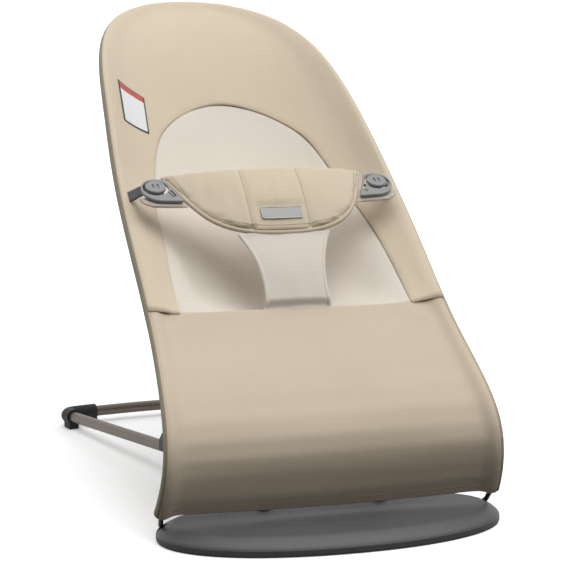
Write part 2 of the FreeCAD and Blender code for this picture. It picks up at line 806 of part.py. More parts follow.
def arch_prism():
    """Prism through the back whose section is the arched outline of the inner panel."""
    tilt = math.radians(SEAT_SLOPE)
    base = at(0, *ARCH_ORIGIN)
    run = Vector(0, math.cos(tilt), math.sin(tilt))
    out = Vector(0, -math.sin(tilt), math.cos(tilt))
    right = [base + Vector(x, 0, 0) + run * v - out * 150.0 for x, v in ARCH_OUTLINE]
    left = [Vector(-p.x, p.y, p.z) for p in reversed(right[:-1])]
    curve = Part.BSplineCurve()
    curve.interpolate(Points=right + left)
    outline = Part.Wire([curve.toShape(), Part.LineSegment(left[-1], right[0]).toShape()])
    return Part.Face(outline).extrude(out * 300.0)


def patch(corners, lift, thickness):
    """Small sewn patch between four (station, x) corners of the seat surface."""
    (t00, x00), (t01, x01), (t10, x10), (t11, x11) = corners
    grid = []
    for i in range(4):
        a = i / 3.0
        row = []
        for j in range(4):
            b = j / 3.0
            t = (1 - a) * ((1 - b) * t00 + b * t01) + a * ((1 - b) * t10 + b * t11)
            x = (1 - a) * ((1 - b) * x00 + b * x01) + a * ((1 - b) * x10 + b * x11)
            p = OUTLINE.value(t)
            row.append(at(x, p.y, p.z) + seat_normal(t) * (lift - seat_depth(t, x)))
        grid.append(row)
    return thick_grid(grid, thickness)


def knob_frame(shape):
    """Move a shape from the buckle's own frame (local Z out of the plate) to its place on the +X side."""
    shape.rotate(Vector(0, 0, 0), Vector(1, 0, 0), PLATE_TILT)
    shape.translate(at(KNOB_X, KNOB_U, KNOB_Z))
    return shape


def knob_point(a, b, c):
    tilt = math.radians(PLATE_TILT)
    return at(KNOB_X + a, KNOB_U + b * math.cos(tilt) - c * math.sin(tilt),
              KNOB_Z + b * math.sin(tilt) + c * math.cos(tilt))


def strap_knob():
    """Button on the strap's end: disc, neck and the flange that traps the strap."""
    profile = [
        (0, KNOB_FLANGE_BOTTOM), (KNOB_FLANGE_R, KNOB_FLANGE_BOTTOM), (KNOB_FLANGE_R, KNOB_FLANGE_TOP),
        (KNOB_NECK_R, KNOB_FLANGE_TOP), (KNOB_NECK_R, KNOB_UNDERSIDE),
        (KNOB_R - KNOB_EDGE, KNOB_UNDERSIDE), (KNOB_R, KNOB_UNDERSIDE + KNOB_EDGE),
        (KNOB_R, KNOB_TOP - KNOB_EDGE), (KNOB_R - KNOB_EDGE, KNOB_TOP), (0, KNOB_TOP),
    ]
    corners = [Vector(r, 0, c) for r, c in profile]
    face = Part.Face(Part.makePolygon(corners + corners[:1]))
    knob = face.revolve(Vector(0, 0, 0), Vector(0, 0, 1), 360)
    for x in KNOB_GROOVES:
        corner = Vector(x, -GROOVE_LENGTH / 2, KNOB_TOP - GROOVE_DEPTH)
        knob = knob.cut(Part.makeBox(GROOVE_WIDTH, GROOVE_LENGTH, GROOVE_DEPTH + 0.1, corner))
    return knob_frame(knob)


def strap():
    """Webbing from the seat's edge to under the button."""
    rail = rail_point(STRAP_STATION)
    along = (rail_point(STRAP_STATION + 0.1) - rail_point(STRAP_STATION - 0.1)).normalize()
    end = rail + (knob_point(10, 4, STRAP_LEVEL) - rail).normalize() * (CASING_R + 1.0)
    half = STRAP_WIDTH / 2
    tilt = math.radians(PLATE_TILT)
    across = Vector(0, math.cos(tilt), math.sin(tilt))
    rows = [(knob_point(-9, 0, STRAP_LEVEL), across), (knob_point(0, 0, STRAP_LEVEL), across),
            (knob_point(11, 1, STRAP_LEVEL), across)]
    middle = (rows[-1][0] + end) * 0.5
    rows.append((middle, ((across + along) * 0.5).normalize()))
    rows.append((end, along))
    grid = [[p + w * (half * k) for k in (-1.0, -0.33, 0.33, 1.0)] for p, w in rows]
    webbing = thick_grid(grid, STRAP_THICKNESS)
    hole = knob_frame(Part.makeCylinder(STRAP_HOLE_R, 6.0, Vector(0, 0, KNOB_FLANGE_BOTTOM)))
    return webbing.cut(hole)


def back():
    outer = swept(seat_loop(-LAP), SEAT_TUBE_R)
    bore = swept(seat_loop(-LAP), SEAT_TUBE_BORE_R)
    save("seat_tube", outer.cut(bore))
    casing_path = seat_loop(2.0)
    save("edge_casing", swept_tube(casing_path, CASING_R, SEAT_TUBE_R + CLOTH_GAP))
    front = back_sheet(0.0, CLOTH)
    prism = arch_prism()
    save("inner_panel", front.common(prism))
    save("outer_cover", front.cut(prism))
    save("back_lining", back_sheet(-LINING_DROP, LINING_THICKNESS))
    save("care_label", patch(CARE_LABEL, CLOTH / 2 + LABEL_LIFT, LABEL_THICKNESS))
    save_pair("strap", strap())
    save_pair("strap_knob", strap_knob())


# ---------------------------------------------------------------- harness
def edge_curve(half_points):
    """Symmetrical edge through (x, u, z) points given from the middle outwards, with x as its share."""
    left = [at(-x, u, z) for x, u, z in reversed(half_points[1:])]
    right = [at(x, u, z) for x, u, z in half_points]
    points = left + right
    widest = half_points[-1][0]
    return spline_through(points, [p.x / widest for p in points])


def belt_point(share, up, lift):
    """Point of the belt: share -1..1 of its width, up 0..1 from lower to upper edge, lift off its middle."""
    low, high = BELT_LOW.value(share), BELT_HIGH.value(share)
    out = Vector(0, -(high.z - low.z), high.y - low.y).normalize()
    crown = BELT_CROWN * (1 - share ** 2) * 4 * up * (1 - up)
    return low + (high - low) * up + out * (crown + lift)


def harness_belt():
    grid = [[belt_point(share / 6.0, up / 5.0, 0.0) for share in range(-6, 7)] for up in range(6)]
    return thick_grid(grid, BELT_THICKNESS).cut(belt_piping(PIPING_R + 0.05))


def belt_piping(radius):
    """Cord sewn along the belt's lower edge."""
    shares = [i / 8.0 for i in range(-8, 9)]
    points = []
    for share in shares:
        low, high = BELT_LOW.value(share), BELT_HIGH.value(share)
        points.append(low + (low - high).normalize() * (PIPING_R + PIPING_GAP))
    return swept(bent_path(points, [30.0] * (len(points) - 2)), radius)


def crotch_strip():
    """Strip from the knee seam up to the belt, narrowest part way up."""
    rows = 6
    grid = []
    low = at(0, *STRIP_LOW)
    high = at(0, *STRIP_HIGH)
    out = Vector(0, -(high.z - low.z), high.y - low.y).normalize()
    for i in range(rows + 1):
        v = i / rows
        half = STRIP_HALF_LOW * (1 - v) + STRIP_HALF_HIGH * v - STRIP_WAIST * 4 * v * (1 - v)
        centre = low + (high - low) * v + out * (STRIP_BOW * math.sin(math.pi * v))
        grid.append([centre + Vector(half * k / 3.0, 0, 0) for k in range(-3, 4)])
    return thick_grid(grid, STRIP_THICKNESS)


def buckle_outline(height):
    """Outline of the buckle plate in its own frame: straight along the belt, rounded round the button."""
    def p(a, b):
        return Vector(a, b, height)
    edges = [
        Part.LineSegment(p(-27.6, -27.0), p(-13.5, 13.0)).toShape(),
        Part.Arc(p(-13.5, 13.0), p(3.0, 16.8), p(17.6, -2.0)).toShape(),
        Part.Arc(p(17.6, -2.0), p(12.0, -19.5), p(-3.0, -27.5)).toShape(),
        Part.LineSegment(p(-3.0, -27.5), p(-25.5, -29.2)).toShape(),
        Part.Arc(p(-25.5, -29.2), p(-27.4, -28.5), p(-27.6, -27.0)).toShape(),
    ]
    return Part.Wire(edges)


def slanted_box(place, size, low, height):
    """Box lying along the plate's sewn edge, centred at a place in the buckle's own frame."""
    width, length = size
    box = Part.makeBox(width, length, height, Vector(-width / 2, -length / 2, low))
    box.rotate(Vector(0, 0, 0), Vector(0, 0, 1), SLOT_ANGLE)
    box.translate(Vector(place[0], place[1], 0))
    return box


def keyhole(radius):
    return Part.makeCylinder(radius, 10.0, Vector(0, KEYHOLE_B, -6.0))


def buckle_plate():
    """Plate sewn to the belt's end, with the keyhole for the button, a sewing slot and a raised bar."""
    plate = Part.Face(buckle_outline(-BUCKLE_THICKNESS)).extrude(Vector(0, 0, BUCKLE_THICKNESS))
    plate = plate.makeFillet(BUCKLE_EDGE, [e for e in plate.Edges if e.BoundBox.ZMin > -0.01])
    plate = plate.cut(keyhole(KEYHOLE_R))
    plate = plate.cut(slanted_box(SLOT_AT, SLOT_SIZE, -6.0, 10.0))
    bar = slanted_box(BAR_AT, BAR_SIZE, -0.2, BAR_RISE + 0.2)
    return knob_frame(plate.fuse(bar.cut(keyhole(KEYHOLE_R + 0.2))))


def belt_tab():
    """Padded lip behind the buckle plate, below the strap."""
    def p(a, b):
        return Vector(a, b, TAB_BOTTOM)
    edges = [
        Part.LineSegment(p(-29.0, -14.0), p(15.5, -14.0)).toShape(),
        Part.Arc(p(15.5, -14.0), p(11.5, -27.5), p(-2.0, -34.5)).toShape(),
        Part.LineSegment(p(-2.0, -34.5), p(-34.5, -37.0)).toShape(),
        Part.LineSegment(p(-34.5, -37.0), p(-29.0, -14.0)).toShape(),
    ]
    tab = Part.Face(Part.Wire(edges)).extrude(Vector(0, 0, TAB_TOP - TAB_BOTTOM))
    return knob_frame(tab)


def belt_badge():
    """Blank metal plate sewn on the belt's middle panel."""
    grid = []
    for up in (BADGE_LOW, (BADGE_LOW + BADGE_HIGH) / 2, BADGE_HIGH):
        row = []
        for k in range(-2, 3):
            share = BADGE_HALF_WIDTH * k / 2.0 / BELT_LOW.value(1.0).x
            row.append(belt_point(share, up, BELT_THICKNESS / 2 + BADGE_LIFT))
        grid.append(row)
    return thick_grid(grid, BADGE_THICKNESS)


def harness():
    save("harness_belt", harness_belt())
    save("belt_piping", belt_piping(PIPING_R))
    save("crotch_strip", crotch_strip())
    save_pair("buckle_plate", buckle_plate())
    save_pair("belt_tab", belt_tab())
    save("belt_badge", belt_badge())


BELT_LOW = edge_curve(BELT_LOW_EDGE)
BELT_HIGH = edge_curve(BELT_HIGH_EDGE)

os.makedirs("parts", exist_ok=True)
footplate()
base_frame()
legs()
back()
harness()
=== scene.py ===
"""Looks of the bouncer seat: sewn fabric, harness, materials, floor, light and camera round the CAD frame."""
import math
import bpy
import numpy as np
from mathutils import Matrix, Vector
from mathutils.bvhtree import BVHTree


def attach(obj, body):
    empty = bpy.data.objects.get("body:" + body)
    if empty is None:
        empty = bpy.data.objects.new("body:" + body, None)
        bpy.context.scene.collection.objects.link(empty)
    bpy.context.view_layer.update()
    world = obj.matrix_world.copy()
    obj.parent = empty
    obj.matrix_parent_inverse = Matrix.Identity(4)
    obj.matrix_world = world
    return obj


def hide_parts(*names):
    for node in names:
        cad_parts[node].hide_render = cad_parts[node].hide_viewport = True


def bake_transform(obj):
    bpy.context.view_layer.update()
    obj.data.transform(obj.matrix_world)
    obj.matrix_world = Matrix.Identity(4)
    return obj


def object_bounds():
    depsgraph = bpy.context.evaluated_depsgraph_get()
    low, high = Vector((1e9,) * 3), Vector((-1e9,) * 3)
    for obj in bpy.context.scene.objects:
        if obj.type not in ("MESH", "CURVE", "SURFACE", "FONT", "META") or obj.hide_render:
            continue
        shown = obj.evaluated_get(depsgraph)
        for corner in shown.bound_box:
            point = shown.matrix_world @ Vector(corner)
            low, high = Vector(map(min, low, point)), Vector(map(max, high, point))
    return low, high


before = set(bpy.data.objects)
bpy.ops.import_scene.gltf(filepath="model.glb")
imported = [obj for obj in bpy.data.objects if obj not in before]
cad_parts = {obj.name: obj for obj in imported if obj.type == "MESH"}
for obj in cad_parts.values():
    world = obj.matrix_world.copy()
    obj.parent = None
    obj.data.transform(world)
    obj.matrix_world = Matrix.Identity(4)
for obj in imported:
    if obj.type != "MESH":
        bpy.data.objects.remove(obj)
CAD_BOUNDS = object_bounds()

# The seat's shape is in millimetres: u is the distance behind the footplate's front edge, and a station
# counts along the side rail, from 0 at the rail's foot to 8 at the head.
HALF_LENGTH = -CAD_BOUNDS[0].y * 1000.0
# (u, z, half width) of the seat at each whole station.
SEAT_OUTLINE = [
    (93.0, 32.0, 195.0), (71.0, 85.0, 190.0), (97.0, 139.0, 185.0),
    (190.0, 206.0, 177.0), (292.0, 279.0, 175.0), (399.0, 355.0, 172.0),
    (510.0, 437.0, 162.0), (637.0, 509.0, 140.0), (781.0, 556.0, 0.0),
]
RAIL_INSET = 6.5
KNEE = 3.24
TOP = 8.0
# (station, depth of the sag, how flat its bottom is)
SAG_STATIONS = [
    (3.24, 2.0, 2.0), (3.6, 40.0, 2.0), (4.0, 50.0, 2.0), (4.8, 50.0, 1.0),
    (5.6, 52.0, 1.0), (6.3, 42.0, 1.0), (7.0, 20.0, 1.0), (8.0, 0.0, 1.0),
]
# Seam of the arched inner panel: station and half width, from the knee to the top of the arch.
ARCH_SEAM = [
    (3.24, 137.0), (3.6, 136.5), (4.0, 133.5), (4.4, 129.8), (4.8, 125.0), (5.1, 118.5),
    (5.4, 110.5), (5.6, 104.0), (5.76, 97.0), (5.9, 88.0), (6.02, 77.5), (6.13, 65.5),
    (6.23, 51.0), (6.31, 34.5), (6.36, 17.0), (6.375, 0.0),
]
ARCH_STITCH_GAP = 3.2
# Seat cloth, in millimetres: a station's usual length, the sunk seam, the hip hollow and the long crease.
STATION_LENGTH = 92.0
SEAM_VALLEY = 1.3
SEAM_SPREAD = 2.6
HOLLOW = 6.0
CREASE = 4.5
CREASE_TOP_STATION = 4.72
CREASE_TOP_X = -115.0
CREASE_LEAN = 15.0
LINING_GAP = 9.0
LEG_LINING_GAP = 6.0
JERSEY_HALF = 138.0
# The knee, where the legs end and where the seat begins, as (x, u, z).
KNEE_LOW = (0.0, 196.0, 209.0)
KNEE_HIGH = (0.0, 236.0, 240.0)

# Cloth round the frame tube: its radius on the seat and on the legs, and angles from the top outwards.
EDGE_R = 6.7
LEG_EDGE_R = 6.4
WRAP_ANGLES = (14.0, 28.0, 40.0)
BINDING_ANGLES = (38.0, 205.0)
PIPING_ANGLES = {"binding_piping_front": 38.0, "binding_piping_back": 150.0}
# Leg panel: how far its lower hem hangs in the middle, where the hem is stitched, the length of a station
# below the rail's foot, and the radius of the fold at the knee in metres.
HEM_DROP = 5.5
HEM_STATION = 0.14
BELOW_STATION = 55.0
HEM_ROLL = 0.0024
# Thickness of each sheet of cloth, in metres.
THICKNESS = {
    "cotton_cover": 0.0016, "jersey_seat": 0.0016, "cover_lining": 0.0014, "edge_binding": 0.0012,
    "leg_apron": 0.0018, "apron_lining": 0.0014, "strip_jersey": 0.0030,
    "webbing_left": 0.0014, "webbing_right": 0.0014, "label_sheet": 0.0007,
}

# Harness: points of the belt's two edges, from the middle outwards, as (x, u, z). The badge's place is given
# in shares of the belt's height and half width, and the strip's ends as (u, z).
BELT_LOW_EDGE = [(0.0, 273.0, 304.0), (59.0, 281.0, 309.0), (86.0, 298.0, 320.0), (101.0, 316.0, 333.0)]
BELT_HIGH_EDGE = [(0.0, 344.0, 371.0), (66.0, 349.0, 368.0), (121.5, 371.0, 359.0)]
BELT_CROWN = 7.0
BELT_SEAMS = (-37.3, 32.1)
BELT_SEAM_DEPTH = 0.0018
BELT_SEAM_WIDTH = 0.0030
BELT_RUFFLE = 0.0007
BADGE_UP = (0.135, 0.285)
BADGE_HALF_SHARE = 23.0 / 101.0
STRIP_LOW = (212.5, 227.0)
STRIP_HIGH = (269.0, 298.0)
STRIP_HALF_LOW = 38.5
STRIP_HALF_HIGH = 52.0
STRIP_WAIST = 7.0
STRIP_TUCK = 8.0
STRAP_STATION = 4.75
STRAP_HALF_WIDTH = 9.0
LIP_LIFT = 3.4
KNOB = (136.0, 341.0, 352.0)
PLATE_TILT = math.radians(28.0)

# Care label: station and x of its corners, and the shares of its height and width that its printing takes.
LABEL_CORNERS = [(5.85, -140.0), (5.81, -107.5), (6.42, -134.5), (6.31, -101.5)]
LABEL_HEADER = 0.82
LABEL_SIDE_BORDER = 0.055
LABEL_END_BORDER = 0.022

# Light and camera: angles in radians, distance in metres, target as (x, u, z), lens in millimetres.
BOUNCE = 0.05
CAMERA_AZIMUTH = -0.28747
CAMERA_ELEVATION = 0.15556
CAMERA_DISTANCE = 2.22648
CAMERA_TARGET = (21.55, 350.0, 230.89)
CAMERA_LENS = 117.75


# ---------------------------------------------------------------- curves and the seat's surface
class Curve:
    """Smooth cubic curve through points at given parameters."""

    def __init__(self, parameters, points):
        self.t = np.array(parameters, float)
        self.p = np.array(points, float).reshape(len(self.t), -1)
        n, h = len(self.t), np.diff(self.t)
        system, right = np.eye(n), np.zeros_like(self.p)
        right[0] = self.end_slope(0, 1)
        right[-1] = self.end_slope(-1, -1)
        for i in range(1, n - 1):
            system[i, i - 1] = h[i]
            system[i, i] = 2 * (h[i - 1] + h[i])
            system[i, i + 1] = h[i - 1]
            right[i] = 3 * (h[i] * (self.p[i] - self.p[i - 1]) / h[i - 1]
                            + h[i - 1] * (self.p[i + 1] - self.p[i]) / h[i])
        self.m = np.linalg.solve(system, right)

    def end_slope(self, end, step):
        """Slope at one end of the cubic through that end's first points."""
        count = min(4, len(self.t))
        chosen = [end + step * k for k in range(count)]
        powers = np.vander(self.t[chosen] - self.t[end], count, increasing=True)
        return np.linalg.solve(powers, self.p[chosen])[1]

    def at(self, s):
        s = np.asarray(s, float)
        i = np.clip(np.searchsorted(self.t, s, side="right") - 1, 0, len(self.t) - 2)
        h = self.t[i + 1] - self.t[i]
        f, h = ((s - self.t[i]) / h)[..., None], h[..., None]
        a, b, ma, mb = self.p[i], self.p[i + 1], self.m[i] * h, self.m[i + 1] * h
        return (a * (1 + 2 * f) * (1 - f) ** 2 + b * f ** 2 * (3 - 2 * f)
                + ma * f * (1 - f) ** 2 + mb * f ** 2 * (f - 1))

    def rate(self, s, step=1e-4):
        s = np.clip(np.asarray(s, float), self.t[0] + step, self.t[-1] - step)
        return (self.at(s + step) - self.at(s - step)) / (2 * step)


OUTLINE = Curve(range(len(SEAT_OUTLINE)), [(w * w, u, z) for u, z, w in SEAT_OUTLINE])
SAG = Curve([s[0] for s in SAG_STATIONS], [s[1:] for s in SAG_STATIONS])


def unit(v):
    return v / np.maximum(np.linalg.norm(v, axis=-1, keepdims=True), 1e-9)


def xyz(x, u, z):
    """Metres in the row frame from millimetres behind the front edge."""
    x, u, z = np.broadcast_arrays(x, u, z)
    return np.stack([x, u - HALF_LENGTH, z], axis=-1) / 1000.0


def metres(p):
    """Row-frame metres of points given as (x, u, z) in millimetres."""
    return xyz(p[..., 0], p[..., 1], p[..., 2])


def across_shares(count):
    """Shares of the half width from -1 to 1, closer together towards both edges."""
    return np.sin(np.linspace(-0.5 * math.pi, 0.5 * math.pi, count))


def seat_normal(t):
    slope = OUTLINE.rate(t)[..., 1:]
    return unit(np.stack([np.zeros_like(slope[..., 0]), -slope[..., 1], slope[..., 0]], axis=-1))


def rail(t):
    """Centre of the +X side rail, its outward side and the seat's normal there; x, u, z in millimetres."""
    value, rate = OUTLINE.at(t), OUTLINE.rate(t)
    half = np.sqrt(np.maximum(value[..., 0], 0.0))
    along = unit(np.stack([rate[..., 0], 2 * half * rate[..., 1], 2 * half * rate[..., 2]], axis=-1))
    normal = seat_normal(t)
    outward = np.cross(along, normal)
    centre = np.stack([half, value[..., 1], value[..., 2]], axis=-1) - outward * RAIL_INSET
    return centre, outward, normal


def smooth(a, low, high):
    f = np.clip((a - low) / (high - low), 0.0, 1.0)
    return f * f * (3 - 2 * f)


def sag_depth(t, x, half):
    value = SAG.at(np.clip(t, KNEE, TOP))
    across = np.clip(1.0 - (x / np.maximum(half, 1.0)) ** 2, 0.0, 1.0)
    deep = value[..., 0] * across ** value[..., 1]
    return np.where(t > KNEE, deep, 0.0)


def over_edge(inside, radius):
    """Lift that takes the cloth from the seat's surface up and over an edge tube of a radius."""
    near = np.sqrt(np.clip(radius ** 2 - np.clip(inside, 0.0, radius) ** 2, 0.0, None))
    eased = radius * np.exp(-(np.maximum(inside, 0.0) / (2.6 * radius)) ** 2)
    return np.maximum(near, eased)


# Centre of the frame tube at the top of the head.
HEAD = rail(np.array(TOP))[0]


def inside_rim(centre, x):
    """Distance in from the frame tube's centre line, sideways or towards the head, whichever is less."""
    to_head = np.hypot(HEAD[1] - centre[..., 1], HEAD[2] - centre[..., 2])
    return np.minimum(centre[..., 0] - np.abs(x), to_head)


def seat_point(t, x, lift=0.0):
    """Point of the front cloth at station t and offset x in millimetres, in the row frame in metres."""
    t, x, lift = np.broadcast_arrays(np.asarray(t, float), np.asarray(x, float), np.asarray(lift, float))
    centre, _, normal = rail(t)
    height = over_edge(inside_rim(centre, x), EDGE_R) - sag_depth(t, x, centre[..., 0]) + lift
    return metres(off_seat(centre, x, normal, height))


def off_seat(centre, x, normal, height):
    """Points at a height off the seat's own surface, as (x, u, z) in millimetres."""
    return np.stack([x, centre[..., 1], centre[..., 2]], axis=-1) + normal * height[..., None]


def edge_point(t, side, angle, radius):
    """Point on the sleeve round the side rail: angle 0 is on top and 90 outwards."""
    centre, outward, normal = rail(np.asarray(t, float))
    a = np.radians(np.asarray(angle, float))[..., None]
    p = centre + (normal * np.cos(a) + outward * np.sin(a)) * np.asarray(radius, float)[..., None]
    return xyz(side * p[..., 0], p[..., 1], p[..., 2])


def wrap_rows(t, side, radius):
    """Rows of cloth that follow the sleeve from the top of the rail outwards."""
    ring = np.full(len(t), radius)
    return np.stack([edge_point(t, side, np.full(len(t), a), ring) for a in WRAP_ANGLES], axis=1)


def ripple(a, b, seed, waves=7):
    """Smooth seeded noise, about -1 to 1, over two coordinates measured in wavelengths."""
    rng = np.random.default_rng(seed)
    total = np.zeros(np.broadcast(a, b).shape)
    for _ in range(waves):
        angle = rng.uniform(0, 2 * math.pi)
        pitch = rng.uniform(0.6, 1.5)
        phase = rng.uniform(0, 2 * math.pi)
        total = total + np.sin(2 * math.pi * pitch * (a * math.cos(angle) + b * math.sin(angle)) + phase)
    return total / math.sqrt(waves)


# ---------------------------------------------------------------- meshes
def new_object(name, points, faces, material, uv=None):
    mesh = bpy.data.meshes.new(name)
    mesh.from_pydata([tuple(p) for p in points], [], [tuple(f) for f in faces])
    if uv is not None:
        mesh.uv_layers.new(name="cloth")
        set_uv(mesh, uv)
    mesh.polygons.foreach_set("use_smooth", [True] * len(mesh.polygons))
    mesh.update()
    piece = bpy.data.objects.new(name, mesh)
    bpy.context.scene.collection.objects.link(piece)
    mesh.materials.append(material)
    return piece


def set_uv(mesh, uv):
    """Give each corner of the mesh the cloth coordinates of its vertex."""
    corners = np.zeros(len(mesh.loops), np.int32)
    mesh.loops.foreach_get("vertex_index", corners)
    mesh.uv_layers["cloth"].data.foreach_set("uv", np.asarray(uv, np.float32)[corners].ravel())


def grid_normals(grid):
    du = np.gradient(grid, axis=0)
    dv = np.gradient(grid, axis=1)
    return unit(np.cross(dv, du))


def grid_faces(rows, columns, offset=0, flip=False):
    faces = []
    for i in range(rows - 1):
        for j in range(columns - 1):
            a = offset + i * columns + j
            quad = (a, a + 1, a + columns + 1, a + columns)
            faces.append(quad[::-1] if flip else quad)
    return faces


def metric_uv(grid):
    """Cloth coordinates in metres, measured along the middle row and column of a grid."""
    rows, columns = grid.shape[:2]
    across = np.linalg.norm(np.diff(grid, axis=1), axis=-1)
    along = np.linalg.norm(np.diff(grid, axis=0), axis=-1)
    u = np.concatenate([np.zeros((rows, 1)), np.cumsum(across, axis=1)], axis=1)
    u -= u[:, columns // 2][:, None]
    v = np.concatenate([[0.0], np.cumsum(along[:, columns // 2])])[:, None] * np.ones((1, columns))
    return np.stack([u, v], axis=-1)


def cloth_sheet(name, grid, material):
    """Closed thin sheet whose outer face is the grid, with its cloth coordinates in metres."""
    grid = np.asarray(grid, float)
    rows, columns = grid.shape[:2]
    inner = grid - grid_normals(grid) * THICKNESS[name]
    points = np.concatenate([grid.reshape(-1, 3), inner.reshape(-1, 3)])
    count = rows * columns
    faces = grid_faces(rows, columns) + grid_faces(rows, columns, count, True)
    rim = list(range(columns)) + [i * columns + columns - 1 for i in range(1, rows)]
    rim += [(rows - 1) * columns + j for j in range(columns - 2, -1, -1)]
    rim += [i * columns for i in range(rows - 2, 0, -1)]
    for a, b in zip(rim, rim[1:] + rim[:1]):
        faces.append((b, a, a + count, b + count))
    uv = metric_uv(grid).reshape(-1, 2)
    piece = new_object(name, points, faces, material, np.concatenate([uv, uv]))
    return piece


def tube(name, path, radius, guide, material, sides, flatten=1.0):
    """Closed cord along a path in metres, with its up side kept towards the guide vectors."""
    tangent = unit(np.gradient(path, axis=0))
    side = unit(np.cross(tangent, np.broadcast_to(guide, path.shape)))
    up = unit(np.cross(side, tangent))
    angles = np.linspace(0, 2 * math.pi, sides, endpoint=False)
    ring = (np.cos(angles)[None, :, None] * side[:, None, :] * radius
            + np.sin(angles)[None, :, None] * up[:, None, :] * radius * flatten)
    points = path[:, None, :] + ring
    rows = len(path)
    faces = []
    for i in range(rows - 1):
        for j in range(sides):
            k = (j + 1) % sides
            faces.append((i * sides + j, i * sides + k, (i + 1) * sides + k, (i + 1) * sides + j))
    faces.append(tuple(reversed(range(sides))))
    faces.append(tuple((rows - 1) * sides + j for j in range(sides)))
    length = np.concatenate([[0.0], np.cumsum(np.linalg.norm(np.diff(path, axis=0), axis=-1))])
    around = np.arange(sides)[None, :] * 2 * math.pi * radius / sides
    uv = np.stack(np.broadcast_arrays(around, length[:, None]), axis=-1)
    return new_object(name, points.reshape(-1, 3), faces, material, uv.reshape(-1, 2))


def stitches(name, runs, material, pitch=0.0034, length=0.0023, radius=0.00034, sink=0.0):
    """Thread laid along runs of (path, outward normals): one small pointed bead for each stitch."""
    sides = 6
    ring = [(math.cos(a), math.sin(a)) for a in np.linspace(0, 2 * math.pi, sides, endpoint=False)]
    profile = [(-0.5, 0.25), (-0.3, 0.9), (0.3, 0.9), (0.5, 0.25)]
    last_ring = (len(profile) - 1) * sides
    points, faces = [], []
    for path, normals in runs:
        path = np.asarray(path, float)
        normals = np.broadcast_to(normals, path.shape)
        steps = np.linalg.norm(np.diff(path, axis=0), axis=-1)
        place = np.concatenate([[0.0], np.cumsum(steps)])
        tangent = unit(np.gradient(path, axis=0))
        for s in np.arange(pitch / 2, place[-1], pitch):
            centre = np.array([np.interp(s, place, path[:, k]) for k in range(3)])
            along = unit(np.array([np.interp(s, place, tangent[:, k]) for k in range(3)]))
            out = unit(np.array([np.interp(s, place, normals[:, k]) for k in range(3)]))
            side = unit(np.cross(along, out))
            out = np.cross(side, along)
            start = len(points)
            for share, size in profile:
                base = centre + along * share * length + out * (radius * 0.5 - sink)
                for c, d in ring:
                    points.append(base + (side * c + out * d) * radius * size)
            for row in range(len(profile) - 1):
                for j in range(sides):
                    a, b = start + row * sides + j, start + row * sides + (j + 1) % sides
                    faces.append((a, b, b + sides, a + sides))
            faces.append(tuple(start + j for j in reversed(range(sides))))
            faces.append(tuple(start + last_ring + j for j in range(sides)))
    return new_object(name, points, faces, material)


# ---------------------------------------------------------------- materials
def set_inputs(shader, **inputs):
    for key, value in inputs.items():
        shader.inputs[key.replace("_", " ")].default_value = value


def node(tree, kind, **inputs):
    made = tree.nodes.new(kind)
    set_inputs(made, **inputs)
    return made


def start_material(name):
    material = bpy.data.materials.new(name)
    material.use_nodes = True
    tree = material.node_tree
    tree.nodes.clear()
    surface = tree.nodes.new("ShaderNodeBsdfPrincipled")
    output = tree.nodes.new("ShaderNodeOutputMaterial")
    tree.links.new(surface.outputs["BSDF"], output.inputs["Surface"])
    return material, tree, surface


def mixed(tree, factor, a, b):
    """A colour mixed from two; each argument is a plain value or another node's output."""
    mix = tree.nodes.new("ShaderNodeMix")
    mix.data_type = "RGBA"
    for socket, value in ((mix.inputs[0], factor), (mix.inputs[6], a), (mix.inputs[7], b)):
        if hasattr(value, "is_linked"):
            tree.links.new(value, socket)
        else:
            socket.default_value = value if socket == mix.inputs[0] else (*value, 1.0)
    return mix.outputs[2]


def math_node(tree, operation, a, b=0.0):
    made = tree.nodes.new("ShaderNodeMath")
    made.operation = operation
    for socket, value in zip(made.inputs, (a, b)):
        if hasattr(value, "is_linked"):
            tree.links.new(value, socket)
        else:
            socket.default_value = value
    return made.outputs[0]


def noise(tree, vector, scale, detail, roughness=0.55):
    made = node(tree, "ShaderNodeTexNoise", Scale=scale, Detail=detail, Roughness=roughness)
    tree.links.new(vector, made.inputs["Vector"])
    return made.outputs["Fac"]


def bump(tree, surface, height, distance, strength):
    made = node(tree, "ShaderNodeBump", Strength=strength, Distance=distance)
    tree.links.new(height, made.inputs["Height"])
    tree.links.new(made.outputs["Normal"], surface.inputs["Normal"])


def times(tree, a, b):
    return math_node(tree, "MULTIPLY", a, b)


def plus(tree, a, b):
    return math_node(tree, "ADD", a, b)


def wave(tree, place, pitch):
    """Sine wave of a pitch in metres, between 0 and 1."""
    turned = math_node(tree, "SINE", times(tree, place, 2 * math.pi / pitch))
    return plus(tree, times(tree, turned, 0.5), 0.5)


